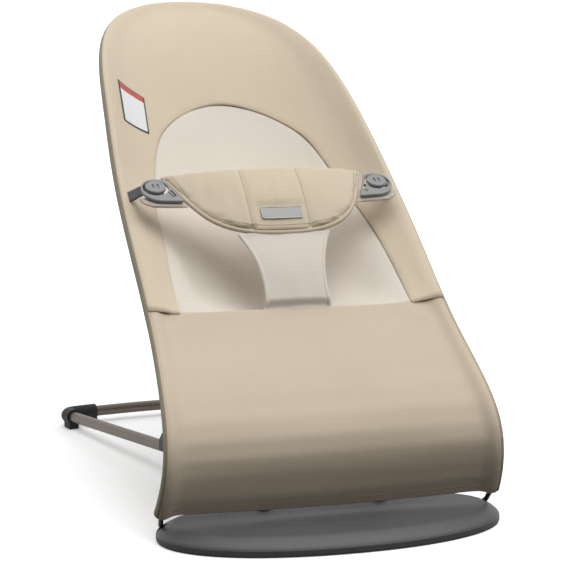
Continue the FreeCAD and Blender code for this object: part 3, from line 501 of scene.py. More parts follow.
def cloth_material(name, colour, dark, pitch=0.0009, twill=0.0, sheen=0.35, weave_depth=0.00012,
                   mottle=0.35, from_uv=True, ribs=False):
    """Woven or knitted cloth: crossed yarns with their own shade, a little mottling, and a soft sheen."""
    material, tree, surface = start_material(name)
    place = tree.nodes.new("ShaderNodeTexCoord")
    where = place.outputs["UV"] if from_uv else place.outputs["Object"]
    parts = tree.nodes.new("ShaderNodeSeparateXYZ")
    tree.links.new(where, parts.inputs[0])
    across, along = parts.outputs[0], parts.outputs[1]
    if not from_uv:
        along = plus(tree, along, times(tree, parts.outputs[2], 0.8))
    warp = wave(tree, plus(tree, across, times(tree, along, twill)), pitch)
    weft = wave(tree, along, pitch * (0.45 if ribs else 1.0))
    yarn = math_node(tree, "MAXIMUM", warp, times(tree, weft, 0.9))
    broad = noise(tree, place.outputs["Object"], 9.0, 4.0, 0.6)
    slub = noise(tree, place.outputs["Object"], 260.0, 2.0, 0.7)
    tone = plus(tree, times(tree, broad, mottle), times(tree, slub, 0.30))
    tone = plus(tree, tone, times(tree, math_node(tree, "SUBTRACT", 1.0, yarn), 0.35))
    shade = mixed(tree, times(tree, tone, 0.62), colour, dark)
    tree.links.new(shade, surface.inputs["Base Color"])
    set_inputs(surface, Roughness=0.86, Sheen_Weight=sheen, Sheen_Roughness=0.5, Specular_IOR_Level=0.25)
    bump(tree, surface, plus(tree, yarn, times(tree, slub, 0.5)), weave_depth, 0.8)
    return material


def plastic_material(name, colour, rough=0.5, grain=0.00012, grain_scale=900.0, coat=0.0):
    """Moulded plastic or rubber with a fine spark-eroded grain and faint handling marks."""
    material, tree, surface = start_material(name)
    place = tree.nodes.new("ShaderNodeTexCoord").outputs["Object"]
    fine = noise(tree, place, grain_scale, 2.0, 0.6)
    broad = noise(tree, place, 14.0, 4.0, 0.6)
    darker = tuple(c * 0.82 for c in colour)
    lighter = tuple(min(1.0, c * 1.08) for c in colour)
    tree.links.new(mixed(tree, broad, darker, lighter), surface.inputs["Base Color"])
    tone = plus(tree, times(tree, broad, 0.16), rough - 0.08)
    tree.links.new(tone, surface.inputs["Roughness"])
    set_inputs(surface, Coat_Weight=coat, Coat_Roughness=0.25)
    bump(tree, surface, fine, grain, 0.6)
    return material


def metal_material(name, colour, rough, brushed=False, metallic=1.0):
    """Coated or brushed metal with fine grain, slight tone changes and hairline wear."""
    material, tree, surface = start_material(name)
    place = tree.nodes.new("ShaderNodeTexCoord").outputs["Object"]
    stretch = tree.nodes.new("ShaderNodeMapping")
    grain = 14.0 if brushed else 1.0
    stretch.inputs["Scale"].default_value = (1.0, grain, grain)
    tree.links.new(place, stretch.inputs["Vector"])
    fine = noise(tree, stretch.outputs["Vector"], 420.0, 3.0, 0.6)
    broad = noise(tree, place, 22.0, 4.0, 0.6)
    dark = tuple(c * 0.86 for c in colour)
    tree.links.new(mixed(tree, broad, dark, colour), surface.inputs["Base Color"])
    tone = plus(tree, times(tree, fine, 0.10), rough)
    tree.links.new(tone, surface.inputs["Roughness"])
    set_inputs(surface, Metallic=metallic)
    bump(tree, surface, fine, 0.00008 if brushed else 0.00003, 0.5)
    return material


def past_border(tree, share, border):
    """1 where a share from 0 to 1 lies within a border at either end."""
    off_middle = math_node(tree, "ABSOLUTE", math_node(tree, "SUBTRACT", share, 0.5))
    return math_node(tree, "GREATER_THAN", off_middle, 0.5 - border)


def label_material(name):
    """Woven label tape: a red band across its upper end, a dark border and a plain white field."""
    material, tree, surface = start_material(name)
    place = tree.nodes.new("ShaderNodeTexCoord")
    parts = tree.nodes.new("ShaderNodeSeparateXYZ")
    tree.links.new(place.outputs["UV"], parts.inputs[0])
    across, along = parts.outputs[0], parts.outputs[1]
    header = math_node(tree, "GREATER_THAN", along, LABEL_HEADER)
    colour = mixed(tree, header, (0.80, 0.80, 0.82), (0.50, 0.055, 0.035))
    sides = past_border(tree, across, LABEL_SIDE_BORDER)
    ends = past_border(tree, along, LABEL_END_BORDER)
    colour = mixed(tree, math_node(tree, "MAXIMUM", sides, ends), colour, (0.018, 0.018, 0.020))
    speckle = times(tree, noise(tree, place.outputs["Object"], 700.0, 2.0), 0.25)
    tree.links.new(mixed(tree, speckle, colour, (0.1, 0.1, 0.1)), surface.inputs["Base Color"])
    set_inputs(surface, Roughness=0.6, Sheen_Weight=0.15)
    bump(tree, surface, noise(tree, place.outputs["Object"], 1500.0, 1.0), 0.00006, 0.6)
    return material


KHAKI = cloth_material("khaki_cotton", (0.70, 0.60, 0.455), (0.46, 0.375, 0.265))
KHAKI_BACK = cloth_material("khaki_lining", (0.62, 0.53, 0.40), (0.42, 0.345, 0.245))
APRON = cloth_material("khaki_apron", (0.65, 0.555, 0.435), (0.41, 0.33, 0.23), sheen=0.12)
BAND = cloth_material("edge_binding", (0.33, 0.285, 0.195), (0.19, 0.16, 0.105), ribs=True)
BELT = cloth_material("belt_cotton", (0.70, 0.605, 0.46), (0.48, 0.395, 0.28), from_uv=False)
PIPING = cloth_material("piping_cotton", (0.62, 0.53, 0.40), (0.42, 0.34, 0.24), pitch=0.0008, twill=1.0)
JERSEY = cloth_material("greige_jersey", (0.765, 0.70, 0.62), (0.56, 0.50, 0.435),
                        pitch=0.0007, sheen=0.3, ribs=True, mottle=0.2)
TAB = cloth_material("tab_jersey", (0.60, 0.545, 0.48), (0.40, 0.355, 0.31),
                     pitch=0.0007, from_uv=False, sheen=0.4)
WEBBING = cloth_material("strap_webbing", (0.105, 0.105, 0.11), (0.045, 0.045, 0.05),
                         pitch=0.0016, ribs=True, weave_depth=0.0003, mottle=0.1)
THREAD = plastic_material("thread", (0.42, 0.35, 0.25), 0.7, 0.00003, 2000.0)
LABEL = label_material("label_tape")
PLATE_TOP = plastic_material("footplate_plastic", (0.082, 0.082, 0.084), 0.5, 0.00008)
PLATE_UNDER = plastic_material("footplate_underplate", (0.010, 0.010, 0.011), 0.6)
RUBBER = plastic_material("charcoal_rubber", (0.014, 0.014, 0.015), 0.66, 0.0001)
BLACK = plastic_material("black_plastic", (0.016, 0.016, 0.017), 0.5)
BUCKLE = plastic_material("buckle_plastic", (0.25, 0.25, 0.255), 0.42, 0.00006, coat=0.1)
TUBE = metal_material("champagne_tube", (0.19, 0.16, 0.13), 0.36, metallic=0.7)
ROD = metal_material("black_rod", (0.018, 0.018, 0.019), 0.42, metallic=0.2)
STEEL = metal_material("zinc_screws", (0.55, 0.55, 0.56), 0.35)
BADGE = metal_material("badge_metal", (0.32, 0.32, 0.315), 0.45, brushed=True, metallic=0.55)
BADGE_RIM = metal_material("badge_rim", (0.52, 0.52, 0.50), 0.35, metallic=0.6)

# Material of each rigid CAD node, by its name without the side.
CAD_MATERIALS = {
    "footplate_cover": PLATE_TOP, "footplate_base": PLATE_UNDER,
    "footplate_grip": RUBBER, "footplate_screws": STEEL,
    "hinge_bush": BLACK, "base_tube": TUBE, "rear_foot": RUBBER, "notch_rack": BLACK, "spring_rod": ROD,
    "stop_collar": BLACK, "bail_clip": BLACK, "support_bail": TUBE, "seat_tube": TUBE, "strap_knob": BUCKLE,
    "buckle_plate": BUCKLE, "belt_badge": BADGE,
}


def dress_cad():
    for name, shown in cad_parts.items():
        material = CAD_MATERIALS.get(name.replace("_left", "").replace("_right", ""))
        if material is not None:
            shown.data.materials.clear()
            shown.data.materials.append(material)


# ---------------------------------------------------------------- the slung seat
def seam_curve(points):
    """Curve through (station, x) points, with the share of its length as its parameter."""
    points = np.array(points)
    steps = np.hypot(np.diff(points[:, 0]) * STATION_LENGTH, np.diff(points[:, 1]))
    place = np.concatenate([[0.0], np.cumsum(steps)])
    return Curve(place / place[-1], points)


ARCH = seam_curve(ARCH_SEAM)


def arch_by_length(count):
    """Stations and half widths of the arch seam at even steps along its length."""
    fine = ARCH.at(np.linspace(0.0, 1.0, 400))
    steps = np.hypot(np.diff(fine[:, 0]) * STATION_LENGTH, np.diff(fine[:, 1]))
    place = np.concatenate([[0.0], np.cumsum(steps)]) / steps.sum()
    share = np.linspace(0.0, 1.0, count)
    t, x = np.interp(share, place, fine[:, 0]), np.interp(share, place, fine[:, 1])
    x[-1] = 0.0
    return t, x


def rim_by_length(count):
    """Stations of the side rail at even steps along its length from the knee to the head."""
    t = np.linspace(KNEE, TOP, 600)
    steps = np.linalg.norm(np.diff(rail(t)[0], axis=0), axis=-1)
    place = np.concatenate([[0.0], np.cumsum(steps)]) / steps.sum()
    return np.interp(np.linspace(0.0, 1.0, count), place, t)


def cover_wrinkles(x, t):
    """Soft unevenness of the woven cover, with short pulls towards the knee seam and the strap."""
    lift = 0.55 * ripple(x / 95.0, t / 1.1, 3) + 0.22 * ripple(x / 40.0, t / 0.7, 5)
    near_knee = np.exp(-((t - KNEE) / 0.22) ** 2)
    pulls = np.sin(np.abs(x) / 4.6 + 1.5 * np.sin(x / 17.0)) * smooth(np.abs(x), 135.0, 150.0)
    return lift + near_knee * 0.9 * pulls


def jersey_shape(x, t, seam):
    """Extra depth of the knitted panel: a shallow hip hollow, one long soft crease and faint drag lines."""
    side = np.abs(x)
    hollow = -HOLLOW * np.exp(-((t - 3.75) / 0.42) ** 2) * smooth(seam - side, 12.0, 50.0)
    crease_x = CREASE_TOP_X + CREASE_LEAN * (CREASE_TOP_STATION - t)
    strength = smooth(t, 4.75, 4.35) * (0.45 + 0.55 * smooth(t, 3.3, 3.9))
    off = (x - crease_x) / 9.0
    crease = -CREASE * strength * np.exp(-np.where(off > 0, off / 2.4, off) ** 2)
    drag = 0.45 * ripple(x / 60.0, t / 1.4, 11) * smooth(seam - side, 0.0, 20.0)
    return hollow + crease + drag


def seat_pieces():
    """The woven cover round the arch, the knitted panel inside it and the stitches beside their seam."""
    half_count = 76
    t_a, x_a = arch_by_length(half_count)
    t_b = rim_by_length(half_count)
    rim_x = rail(t_b)[0][:, 0]
    rim_x[-1] = 0.0
    share = np.concatenate([np.linspace(0.0, 0.06, 5)[:-1], np.linspace(0.06, 0.86, 26),
                            np.linspace(0.86, 1.0, 8)[1:]])
    t = t_a[:, None] + (t_b - t_a)[:, None] * share
    x = x_a[:, None] + (rim_x - x_a)[:, None] * share
    gap = share[None, :] * np.maximum(np.hypot((rim_x - x_a), (t_b - t_a) * STATION_LENGTH), 1.0)[:, None]
    valley = -SEAM_VALLEY * np.exp(-(gap / SEAM_SPREAD) ** 2)

    def cover_half(side):
        settle = smooth(inside_rim(rail(t)[0], x), 2.0, 16.0)
        lift = valley + cover_wrinkles(side * x, t) * settle
        return np.concatenate([seat_point(t, side * x, lift), wrap_rows(t_b, side, EDGE_R)], axis=1)

    right, left = cover_half(1.0), cover_half(-1.0)
    cover_grid = np.concatenate([left, right[-2::-1]], axis=0)
    cover = cloth_sheet("cotton_cover", cover_grid, KHAKI)
    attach(cover, "back")
    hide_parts("outer_cover")

    shares = across_shares(61)
    t_rows = t_a[:, None] * np.ones_like(shares)
    x_rows = x_a[:, None] * shares
    seam = x_a[:, None] * np.ones_like(shares)
    inset = seam - np.abs(x_rows)
    lift = jersey_shape(x_rows, t_rows, seam) - SEAM_VALLEY * np.exp(-(inset / SEAM_SPREAD) ** 2)
    lift = np.where(inset < 0.01, -SEAM_VALLEY, lift)
    jersey_grid = seat_point(t_rows, x_rows, lift)
    jersey = cloth_sheet("jersey_seat", jersey_grid, JERSEY)
    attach(jersey, "back")
    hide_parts("inner_panel")

    slope = np.gradient(np.stack([x_a, t_a * STATION_LENGTH], axis=-1), axis=0)
    off = unit(np.stack([slope[:, 1], -slope[:, 0]], axis=-1)) * ARCH_STITCH_GAP
    beside_x, beside_t = x_a + off[:, 0], t_a + off[:, 1] / STATION_LENGTH
    runs = [(seat_point(beside_t, side * beside_x), seat_normal(beside_t)) for side in (1.0, -1.0)]
    thread = stitches("arch_stitches", runs, THREAD, sink=0.0001)
    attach(thread, "back")
    return cover


def lining_piece():
    """Lining behind the seat, which follows the front cloth at a small distance."""
    rows, columns = 90, 57
    t = rim_by_length(rows)
    half = rail(t)[0][:, 0] - 1.5
    half[-1] = 0.0
    tt = t[:, None] * np.ones((1, columns))
    x = half[:, None] * across_shares(columns)
    centre, _, normal = rail(tt)
    pressed = np.minimum(jersey_shape(x, tt, np.full_like(x, JERSEY_HALF)), 0.0)
    depth = sag_depth(tt, x, centre[..., 0]) - pressed
    inside = centre[..., 0] - np.abs(x)
    under = -over_edge(inside, EDGE_R) - LINING_GAP * smooth(inside, 0.0, 24.0)
    wrinkle = 0.8 * ripple(x / 80.0, tt / 0.9, 21) * smooth(inside, 2.0, 25.0)
    grid = metres(off_seat(centre, x, normal, under - depth + wrinkle))[:, ::-1]
    lining = cloth_sheet("cover_lining", grid, KHAKI_BACK)
    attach(lining, "back")
    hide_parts("back_lining")


def band_pieces():
    """Binding round the outer side of the frame, from hem to hem, with a piped seam along both edges."""
    t_leg = np.linspace(0.0, KNEE, 60)
    t_back = rim_by_length(120)[1:]
    t_half = np.concatenate([t_leg, t_back])
    radius = LEG_EDGE_R + (EDGE_R - LEG_EDGE_R) * smooth(t_half, 2.9, 3.3)
    angles = np.linspace(*BINDING_ANGLES, 12)
    puff = 0.35 * np.sin(math.pi * (angles - BINDING_ANGLES[0]) / (BINDING_ANGLES[1] - BINDING_ANGLES[0]))

    def round_head(angle, ring):
        """Line along the frame at one angle of the sleeve, up one side and down the other."""
        right, left = [edge_point(t_half, side, np.full(len(t_half), angle), ring) for side in (1.0, -1.0)]
        return np.concatenate([right, left[-2::-1]])

    grid = np.stack([round_head(a, radius + 0.15 + b) for a, b in zip(angles, puff)], axis=1)[:, ::-1]
    band = cloth_sheet("edge_binding", grid, BAND)
    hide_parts("edge_casing", "rod_casing_left", "rod_casing_right")
    knee_bend(band)
    for name, angle in PIPING_ANGLES.items():
        path = round_head(angle, radius + 0.35)
        guide = unit(round_head(angle, radius + 50.0) - path)
        cord = tube(name, path, 0.0008, guide, PIPING, 8)
        knee_bend(cord)


def knee_bend(piece):
    """The piece crosses the knee; its transform is baked into its mesh."""
    tuple(xyz(*KNEE_LOW))
    tuple(xyz(*KNEE_HIGH))
    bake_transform(piece)


# ---------------------------------------------------------------- the leg panel
def leg_folds(x, t):
    """Long shallow folds across the leg panel, and a few faint pulls at its two upper corners."""
    broad = 0.55 * ripple(x / 520.0, t / 0.85, 31) + 0.22 * ripple(x / 260.0, t / 0.42, 33)
    corner = np.exp(-((t - KNEE + 0.12) / 0.20) ** 2) * smooth(np.abs(x), 95.0, 160.0)
    return broad + corner * 0.55 * np.sin(np.abs(x) / 9.0 + t * 16.0)


def folded_end(grid, radius):
    """The grid with its last row rolled over backwards, as a folded hem."""
    out = grid_normals(grid)[-1]
    onward = unit(grid[-1] - grid[-2])
    turns = np.radians([30.0, 60.0, 90.0, 120.0, 150.0, 175.0])
    rows = [grid[-1] + onward * radius * math.sin(a) - out * radius * (1 - math.cos(a)) for a in turns]
    return np.concatenate([grid, rows])


def apron_pieces():
    """The leg panel with its edge folded at the knee, its second layer and the stitches of its lower hem."""
    columns = 71
    t = np.concatenate([np.linspace(-0.035, 0.12, 10)[:-1], np.linspace(0.12, 3.08, 74),
                        np.linspace(3.08, KNEE, 14)[1:]])
    tt = t[:, None] * np.ones((1, columns))
    inner_t = np.clip(tt, 0.0, TOP)
    centre, _, normal = rail(inner_t)
    half = centre[..., 0]
    x = half * across_shares(columns)
    inside = half - np.abs(x)
    settle = smooth(inside, 2.0, 18.0)
    hem_sag = -HEM_DROP * (1 - (x / np.maximum(half, 1.0)) ** 2) * np.exp(-tt / 0.5)
    lift = over_edge(inside, LEG_EDGE_R) * (0.35 + 0.65 * (1 - settle)) + leg_folds(x, tt) * settle
    slope = OUTLINE.rate(inner_t)[..., 1:]
    along = unit(np.stack([np.zeros_like(half), slope[..., 0], slope[..., 1]], axis=-1))
    below = np.minimum(tt, 0.0) * BELOW_STATION
    body = metres(off_seat(centre, x, normal, lift) + along * (hem_sag + below)[..., None])
    rim_shift = (along * below[..., None])[:, :1] / 1000.0
    right, left = [wrap_rows(np.clip(t, 0.0, TOP), side, LEG_EDGE_R) + rim_shift for side in (1.0, -1.0)]
    grid = folded_end(np.concatenate([left[:, ::-1], body, right], axis=1), HEM_ROLL)
    apron = cloth_sheet("leg_apron", grid, APRON)
    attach(apron, "legs")
    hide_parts("leg_panel")

    shares = across_shares(41)
    back_t = np.linspace(0.02, KNEE - 0.13, 60)[:, None] * np.ones_like(shares)
    centre, _, normal = rail(back_t)
    x = (centre[..., 0] - 1.0) * shares
    inside = centre[..., 0] - np.abs(x)
    under = -over_edge(inside, LEG_EDGE_R) - LEG_LINING_GAP * smooth(inside, 0.0, 20.0)
    under = under + leg_folds(x, back_t) * smooth(inside, 2.0, 20.0)
    grid_behind = metres(off_seat(centre, x, normal, under))[:, ::-1]
    lining = cloth_sheet("apron_lining", grid_behind, KHAKI_BACK)
    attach(lining, "legs")

    row = int(np.argmin(np.abs(t - HEM_STATION)))
    hem, out = grid[row][4:-4], grid_normals(grid)[row][4:-4]
    thread = stitches("hem_stitches", [(hem, out)], THREAD, pitch=0.0042, length=0.003)
    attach(thread, "legs")


# ---------------------------------------------------------------- the harness
def edge_by_share(points):
    """Symmetrical edge through points given from the middle outwards, by its share of the half width."""
    full = np.array([(-x, u, z) for x, u, z in points[:0:-1]] + list(points), float)
    return Curve(full[:, 0] / full[-1, 0], full)


BELT_LOW = edge_by_share(BELT_LOW_EDGE)
BELT_HIGH = edge_by_share(BELT_HIGH_EDGE)


def belt_point(share, up, lift=0.0):
    """Point on the belt: share of the half width, share of the height, and lift off its crowned face."""
    share, up, lift = np.broadcast_arrays(share, up, lift)
    low, high = BELT_LOW.at(share), BELT_HIGH.at(share)
    crown = BELT_CROWN * (1 - share ** 2) * 4 * up * (1 - up)
    return metres(low + (high - low) * up[..., None] + belt_out(share) * (crown + lift)[..., None])


def belt_out(share):
    rise = BELT_HIGH.at(share) - BELT_LOW.at(share)
    return unit(np.stack([np.zeros_like(share), -rise[..., 2], rise[..., 1]], axis=-1))


def puffed(name, source, voxel, pressure, cap, material, shrink=0.0, pressed=None):
    """Padded piece: a copy of a mesh, remeshed evenly, blown up as cloth, and smoothed once.

    The faces swell by at most cap along their normals, and by less where pressed says that they are held.
    """
    mesh = source.data.copy()
    piece = bpy.data.objects.new(name, mesh)
    bpy.context.scene.collection.objects.link(piece)
    mesh.materials.clear()
    mesh.materials.append(material)
    bpy.context.view_layer.objects.active = piece
    remesh = piece.modifiers.new("even", "REMESH")
    remesh.mode = "VOXEL"
    remesh.voxel_size = voxel
    apply_modifiers(piece)
    rest = vertices(piece)
    outward = vertex_normals(piece)
    if shrink:
        rest = rest - outward * shrink
        set_vertices(piece, rest)
    cloth = piece.modifiers.new("stuffing", "CLOTH")
    cloth.settings.use_pressure = True
    cloth.settings.uniform_pressure_force = pressure
    cloth.settings.effector_weights.gravity = 0.0
    cloth.settings.quality = 6
    cloth.settings.tension_stiffness = 25
    cloth.settings.compression_stiffness = 25
    cloth.settings.bending_stiffness = 0.4
    for step in range(1, 21):
        bpy.context.scene.frame_set(step)
    apply_modifiers(piece)
    bpy.context.scene.frame_set(1)
    swell = np.clip(((vertices(piece) - rest) * outward).sum(axis=-1), -0.0002, cap)
    if pressed is not None:
        swell = swell * (1.0 - pressed(rest))
    set_vertices(piece, rest + outward * swell[:, None])
    finer = piece.modifiers.new("finer", "SUBSURF")
    finer.levels = 1
    finer.render_levels = 1
    apply_modifiers(piece)
    piece.data.polygons.foreach_set("use_smooth", [True] * len(piece.data.polygons))
    return piece


def apply_modifiers(piece):
    bpy.context.view_layer.update()
    graph = bpy.context.evaluated_depsgraph_get()
    made = bpy.data.meshes.new_from_object(piece.evaluated_get(graph))
    piece.modifiers.clear()
    piece.data = made


def vertices(piece):
    co = np.zeros(len(piece.data.vertices) * 3)
    piece.data.vertices.foreach_get("co", co)
    return co.reshape(-1, 3)


def vertex_normals(piece):
    return np.array([v.normal for v in piece.data.vertices], float)


def set_vertices(piece, co):
    piece.data.vertices.foreach_set("co", np.asarray(co, np.float32).ravel())
    piece.data.update()


def on_surface(pad, points, direction, lift=0.0):
    """The points moved along a direction onto the outer face of a pad."""
    tree = BVHTree.FromObject(pad, bpy.context.evaluated_depsgraph_get())
    landed = []
    for p, d in zip(points, direction):
        hit = tree.ray_cast(Vector(p + d * 0.03), Vector(-d), 0.06)[0]
        landed.append(np.array(hit if hit is not None else p) + d * lift)
    return np.array(landed)


def belt_run(pad, shares, ups, lift=0.0):
    """A line across the belt laid on the pad's face, with the directions out of it."""
    shares, ups = np.broadcast_arrays(np.asarray(shares, float), np.asarray(ups, float))
    out = belt_out(shares)
    return on_surface(pad, belt_point(shares, ups), out, lift), out


def badge_press(co):
    """How firmly the badge holds the padding down, 0 to 1."""
    across = smooth(0.034 - np.abs(co[:, 0]), 0.0, 0.009)
    return 0.92 * across * smooth(co[:, 2], 0.302, 0.309) * smooth(-co[:, 2], -0.338, -0.330)


def belt_pieces():
    """The padded belt, the piping along its edge, its stitches and the border of its badge."""
    pad = puffed("harness_pad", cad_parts["harness_belt"], voxel=0.0042, pressure=4.0, cap=0.0019,
                 material=BELT, shrink=0.0004, pressed=badge_press)
    co, normals = vertices(pad), vertex_normals(pad)
    for seam_x in BELT_SEAMS:
        off = (co[:, 0] - seam_x / 1000.0) / BELT_SEAM_WIDTH
        co = co - normals * (BELT_SEAM_DEPTH * np.exp(-off ** 2))[:, None]
    ruffle = 0.35 * ripple(co[:, 0] / 0.05, co[:, 2] / 0.04, 51)
    ruffle = ruffle + 0.25 * ripple(co[:, 0] / 0.02, co[:, 2] / 0.05, 52)
    set_vertices(pad, co + normals * (BELT_RUFFLE * ruffle)[:, None])
    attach(pad, "harness")
    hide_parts("harness_belt")

    shares = np.linspace(-1.0, 1.0, 121)
    low = belt_point(shares, np.full(121, -0.024), 1.2)
    ends = [belt_point(np.full(24, s), np.linspace(0.0, 0.98, 24), 0.6) for s in (-1.0, 1.0)]
    path = np.concatenate([ends[0][:1:-1], low[3:-3], ends[1][2:]])
    end_out = [np.repeat(belt_out(np.array([s])), 22, 0) for s in (-1.0, 1.0)]
    guide = np.concatenate([end_out[0], belt_out(shares)[3:-3], end_out[1]])
    count = 220
    path = even_path(path, count, 24)
    old, new = np.linspace(0, 1, len(guide)), np.linspace(0, 1, count)
    guide = unit(np.stack([np.interp(new, old, guide[:, k]) for k in range(3)], axis=-1))
    cord = tube("harness_piping", path, 0.0027, guide, PIPING, 12)
    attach(cord, "harness")
    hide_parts("belt_piping")

    ups = np.linspace(0.03, 0.96, 60)
    half = BELT_LOW_EDGE[-1][0] * (1 - ups) + BELT_HIGH_EDGE[-1][0] * ups
    runs = [belt_run(pad, seam_x / half, ups) for seam_x in BELT_SEAMS]
    runs.append(belt_run(pad, np.linspace(-0.93, 0.93, 140), 0.055))
    runs += [belt_run(pad, share, np.linspace(0.09, 0.94, 50)) for share in (-0.945, 0.945)]
    thread = stitches("belt_stitches", runs, THREAD, pitch=0.0036, length=0.0026, radius=0.00042)
    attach(thread, "harness")

    badge_border()


def badge_border():
    """Raised rim round the badge's four sides."""
    side = np.linspace(-BADGE_HALF_SHARE, BADGE_HALF_SHARE, 12)
    rise = np.linspace(*BADGE_UP, 6)
    shares = np.concatenate([side, np.full(6, side[-1]), side[::-1], np.full(6, side[0])])
    ups = np.concatenate([np.full(12, rise[0]), rise, np.full(12, rise[-1]), rise[::-1]])
    path = belt_point(shares, ups, 5.0)
    keep = np.concatenate([[True], np.linalg.norm(np.diff(path, axis=0), axis=-1) > 1e-5])
    border = tube("badge_border", path[keep], 0.00055, belt_out(shares)[keep], BADGE_RIM, 8)
    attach(border, "harness")


def even_path(path, count, rounds=6):
    """The same path, slightly smoothed, at even steps."""
    place = np.concatenate([[0.0], np.cumsum(np.linalg.norm(np.diff(path, axis=0), axis=-1))])
    keep = np.concatenate([[True], np.diff(place) > 1e-6])
    s = np.linspace(0.0, place[-1], count)
    out = np.stack([np.interp(s, place[keep], path[keep][:, k]) for k in range(3)], axis=-1)
    for _ in range(rounds):
        out[1:-1] = 0.25 * out[:-2] + 0.5 * out[1:-1] + 0.25 * out[2:]
    return out


def strip_pieces():
    """The knitted strip from the seat up to the belt, with a corded edge on both sides."""
    v = np.linspace(-0.09, 1.06, 60)[:, None]
    a = across_shares(41)[None, :]
    half = STRIP_HALF_LOW * (1 - v) + STRIP_HALF_HIGH * v - STRIP_WAIST * 4 * v * (1 - v)
    low, high = np.array(STRIP_LOW), np.array(STRIP_HIGH)
    rise = high - low
    out = np.array([-rise[1], rise[0]]) / np.linalg.norm(rise)
    bow = 4.0 * np.sin(math.pi * np.clip(v, 0, 1))
    crown = 2.6 * (1 - a ** 2) ** 0.8 + 0.5 * ripple(a * 0.9, v * 1.1, 61) * (1 - a ** 4)
    u = low[0] + rise[0] * v + out[0] * (bow + crown)
    z = low[1] + rise[1] * v + out[1] * (bow + crown)
    tuck = 1.0 - smooth(v, -0.06, 0.10)
    u = u + STRIP_TUCK * tuck
    x = half * a
    grid = xyz(x, u, z)
    pad = cloth_sheet("strip_jersey", grid, JERSEY)
    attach(pad, "harness")
    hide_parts("crotch_strip")
    normal = np.array([0.0, out[0], out[1]])
    for column, inward, name in ((0, 0.0015, "strip_piping_left"), (-1, -0.0015, "strip_piping_right")):
        path = even_path(grid[:, column], 90) + np.array([inward, 0.0, 0.0]) - normal * 0.0004
        cord = tube(name, path, 0.0025, normal, JERSEY, 12, 0.8)
        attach(cord, "harness")


def off_plate(a, b, c):
    """(x, u, z) of a point given from the button: a outwards, b up along the plate and c out of it."""
    back = b * math.cos(PLATE_TILT) - c * math.sin(PLATE_TILT)
    up = b * math.sin(PLATE_TILT) + c * math.cos(PLATE_TILT)
    return np.array(KNOB) + np.stack(np.broadcast_arrays(a, back, up), axis=-1)


def seat_lip(tab, side):
    """Bring the padded lip up against the buckle plate and out under the strap."""
    co = vertices(tab) * 1000.0
    a = side * co[:, 0] - KNOB[0]
    v, w = co[:, 1] + HALF_LENGTH - KNOB[1], co[:, 2] - KNOB[2]
    b = v * math.cos(PLATE_TILT) + w * math.sin(PLATE_TILT)
    c = -v * math.sin(PLATE_TILT) + w * math.cos(PLATE_TILT)
    a = a + 6.0 * smooth(a, -5.0, 15.0)
    b = b + 2.5 + 5.0 * smooth(b, -24.0, -14.0) * smooth(a, 14.0, 6.0)
    p = off_plate(a, b, c + LIP_LIFT)
    set_vertices(tab, xyz(side * p[:, 0], p[:, 1], p[:, 2]))


def tab_and_strap(side, word):
    """The padded tab behind one buckle plate, and the webbing strap from the frame to its button."""
    tab = puffed("tab_pad" + word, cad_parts["belt_tab" + word], voxel=0.0024, pressure=3.0, cap=0.0015,
                 material=TAB, shrink=0.0003)
    seat_lip(tab, side)
    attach(tab, "harness")
    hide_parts("belt_tab" + word)

    centre = rail(np.array(STRAP_STATION))[0]
    along = unit(np.diff(rail(np.array([STRAP_STATION - 0.1, STRAP_STATION + 0.1]))[0], axis=0))[0]
    tilt_across = np.array([0.0, math.cos(PLATE_TILT), math.sin(PLATE_TILT)])
    start = centre + unit(off_plate(10.0, 4.0, -4.4) - centre) * (EDGE_R - 1.0)
    lands = [off_plate(a, b, -4.0) for a, b in ((11.0, 1.0), (0.0, 0.0), (-9.0, 0.0))]
    stations = [(start, along), (0.5 * (start + lands[0]), unit(along + tilt_across))]
    stations += [(land, tilt_across) for land in lands]
    keys = Curve(np.linspace(0, 1, len(stations)), [np.concatenate(s) for s in stations])
    values = keys.at(np.linspace(0.0, 1.0, 40))
    spread = np.linspace(-STRAP_HALF_WIDTH, STRAP_HALF_WIDTH, 9)
    grid = values[:, None, :3] + unit(values[:, 3:])[:, None, :] * spread[None, :, None]
    grid = xyz(side * grid[..., 0], grid[..., 1], grid[..., 2])
    if side > 0:
        grid = grid[:, ::-1]
    strap = cloth_sheet("webbing" + word, grid, WEBBING)
    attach(strap, "back")
    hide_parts("strap" + word)


def label_piece(cover):
    """Care label laid on the cover, with its printing given across and up its own face."""
    rows, columns = 20, 12
    v, a = np.linspace(0, 1, rows)[:, None, None], np.linspace(0, 1, columns)[None, :, None]
    corner = np.array(LABEL_CORNERS)
    low, high = corner[0] * (1 - a) + corner[1] * a, corner[2] * (1 - a) + corner[3] * a
    place = low * (1 - v) + high * v
    a, v = a[..., 0], v[..., 0]
    t, x = place[..., 0], place[..., 1]
    normal = seat_normal(t).reshape(-1, 3)
    grid = on_surface(cover, seat_point(t, x).reshape(-1, 3), normal, 0.0011).reshape(rows, columns, 3)
    grid = grid + normal.reshape(rows, columns, 3) * (0.0003 * ripple(a * 0.8, v * 0.8, 71))[..., None]
    label = cloth_sheet("label_sheet", grid, LABEL)
    uv = np.stack(np.broadcast_arrays(a, v), axis=-1).reshape(-1, 2)
    set_uv(label.data, np.concatenate([uv, uv]))
    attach(label, "back")
    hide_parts("care_label")


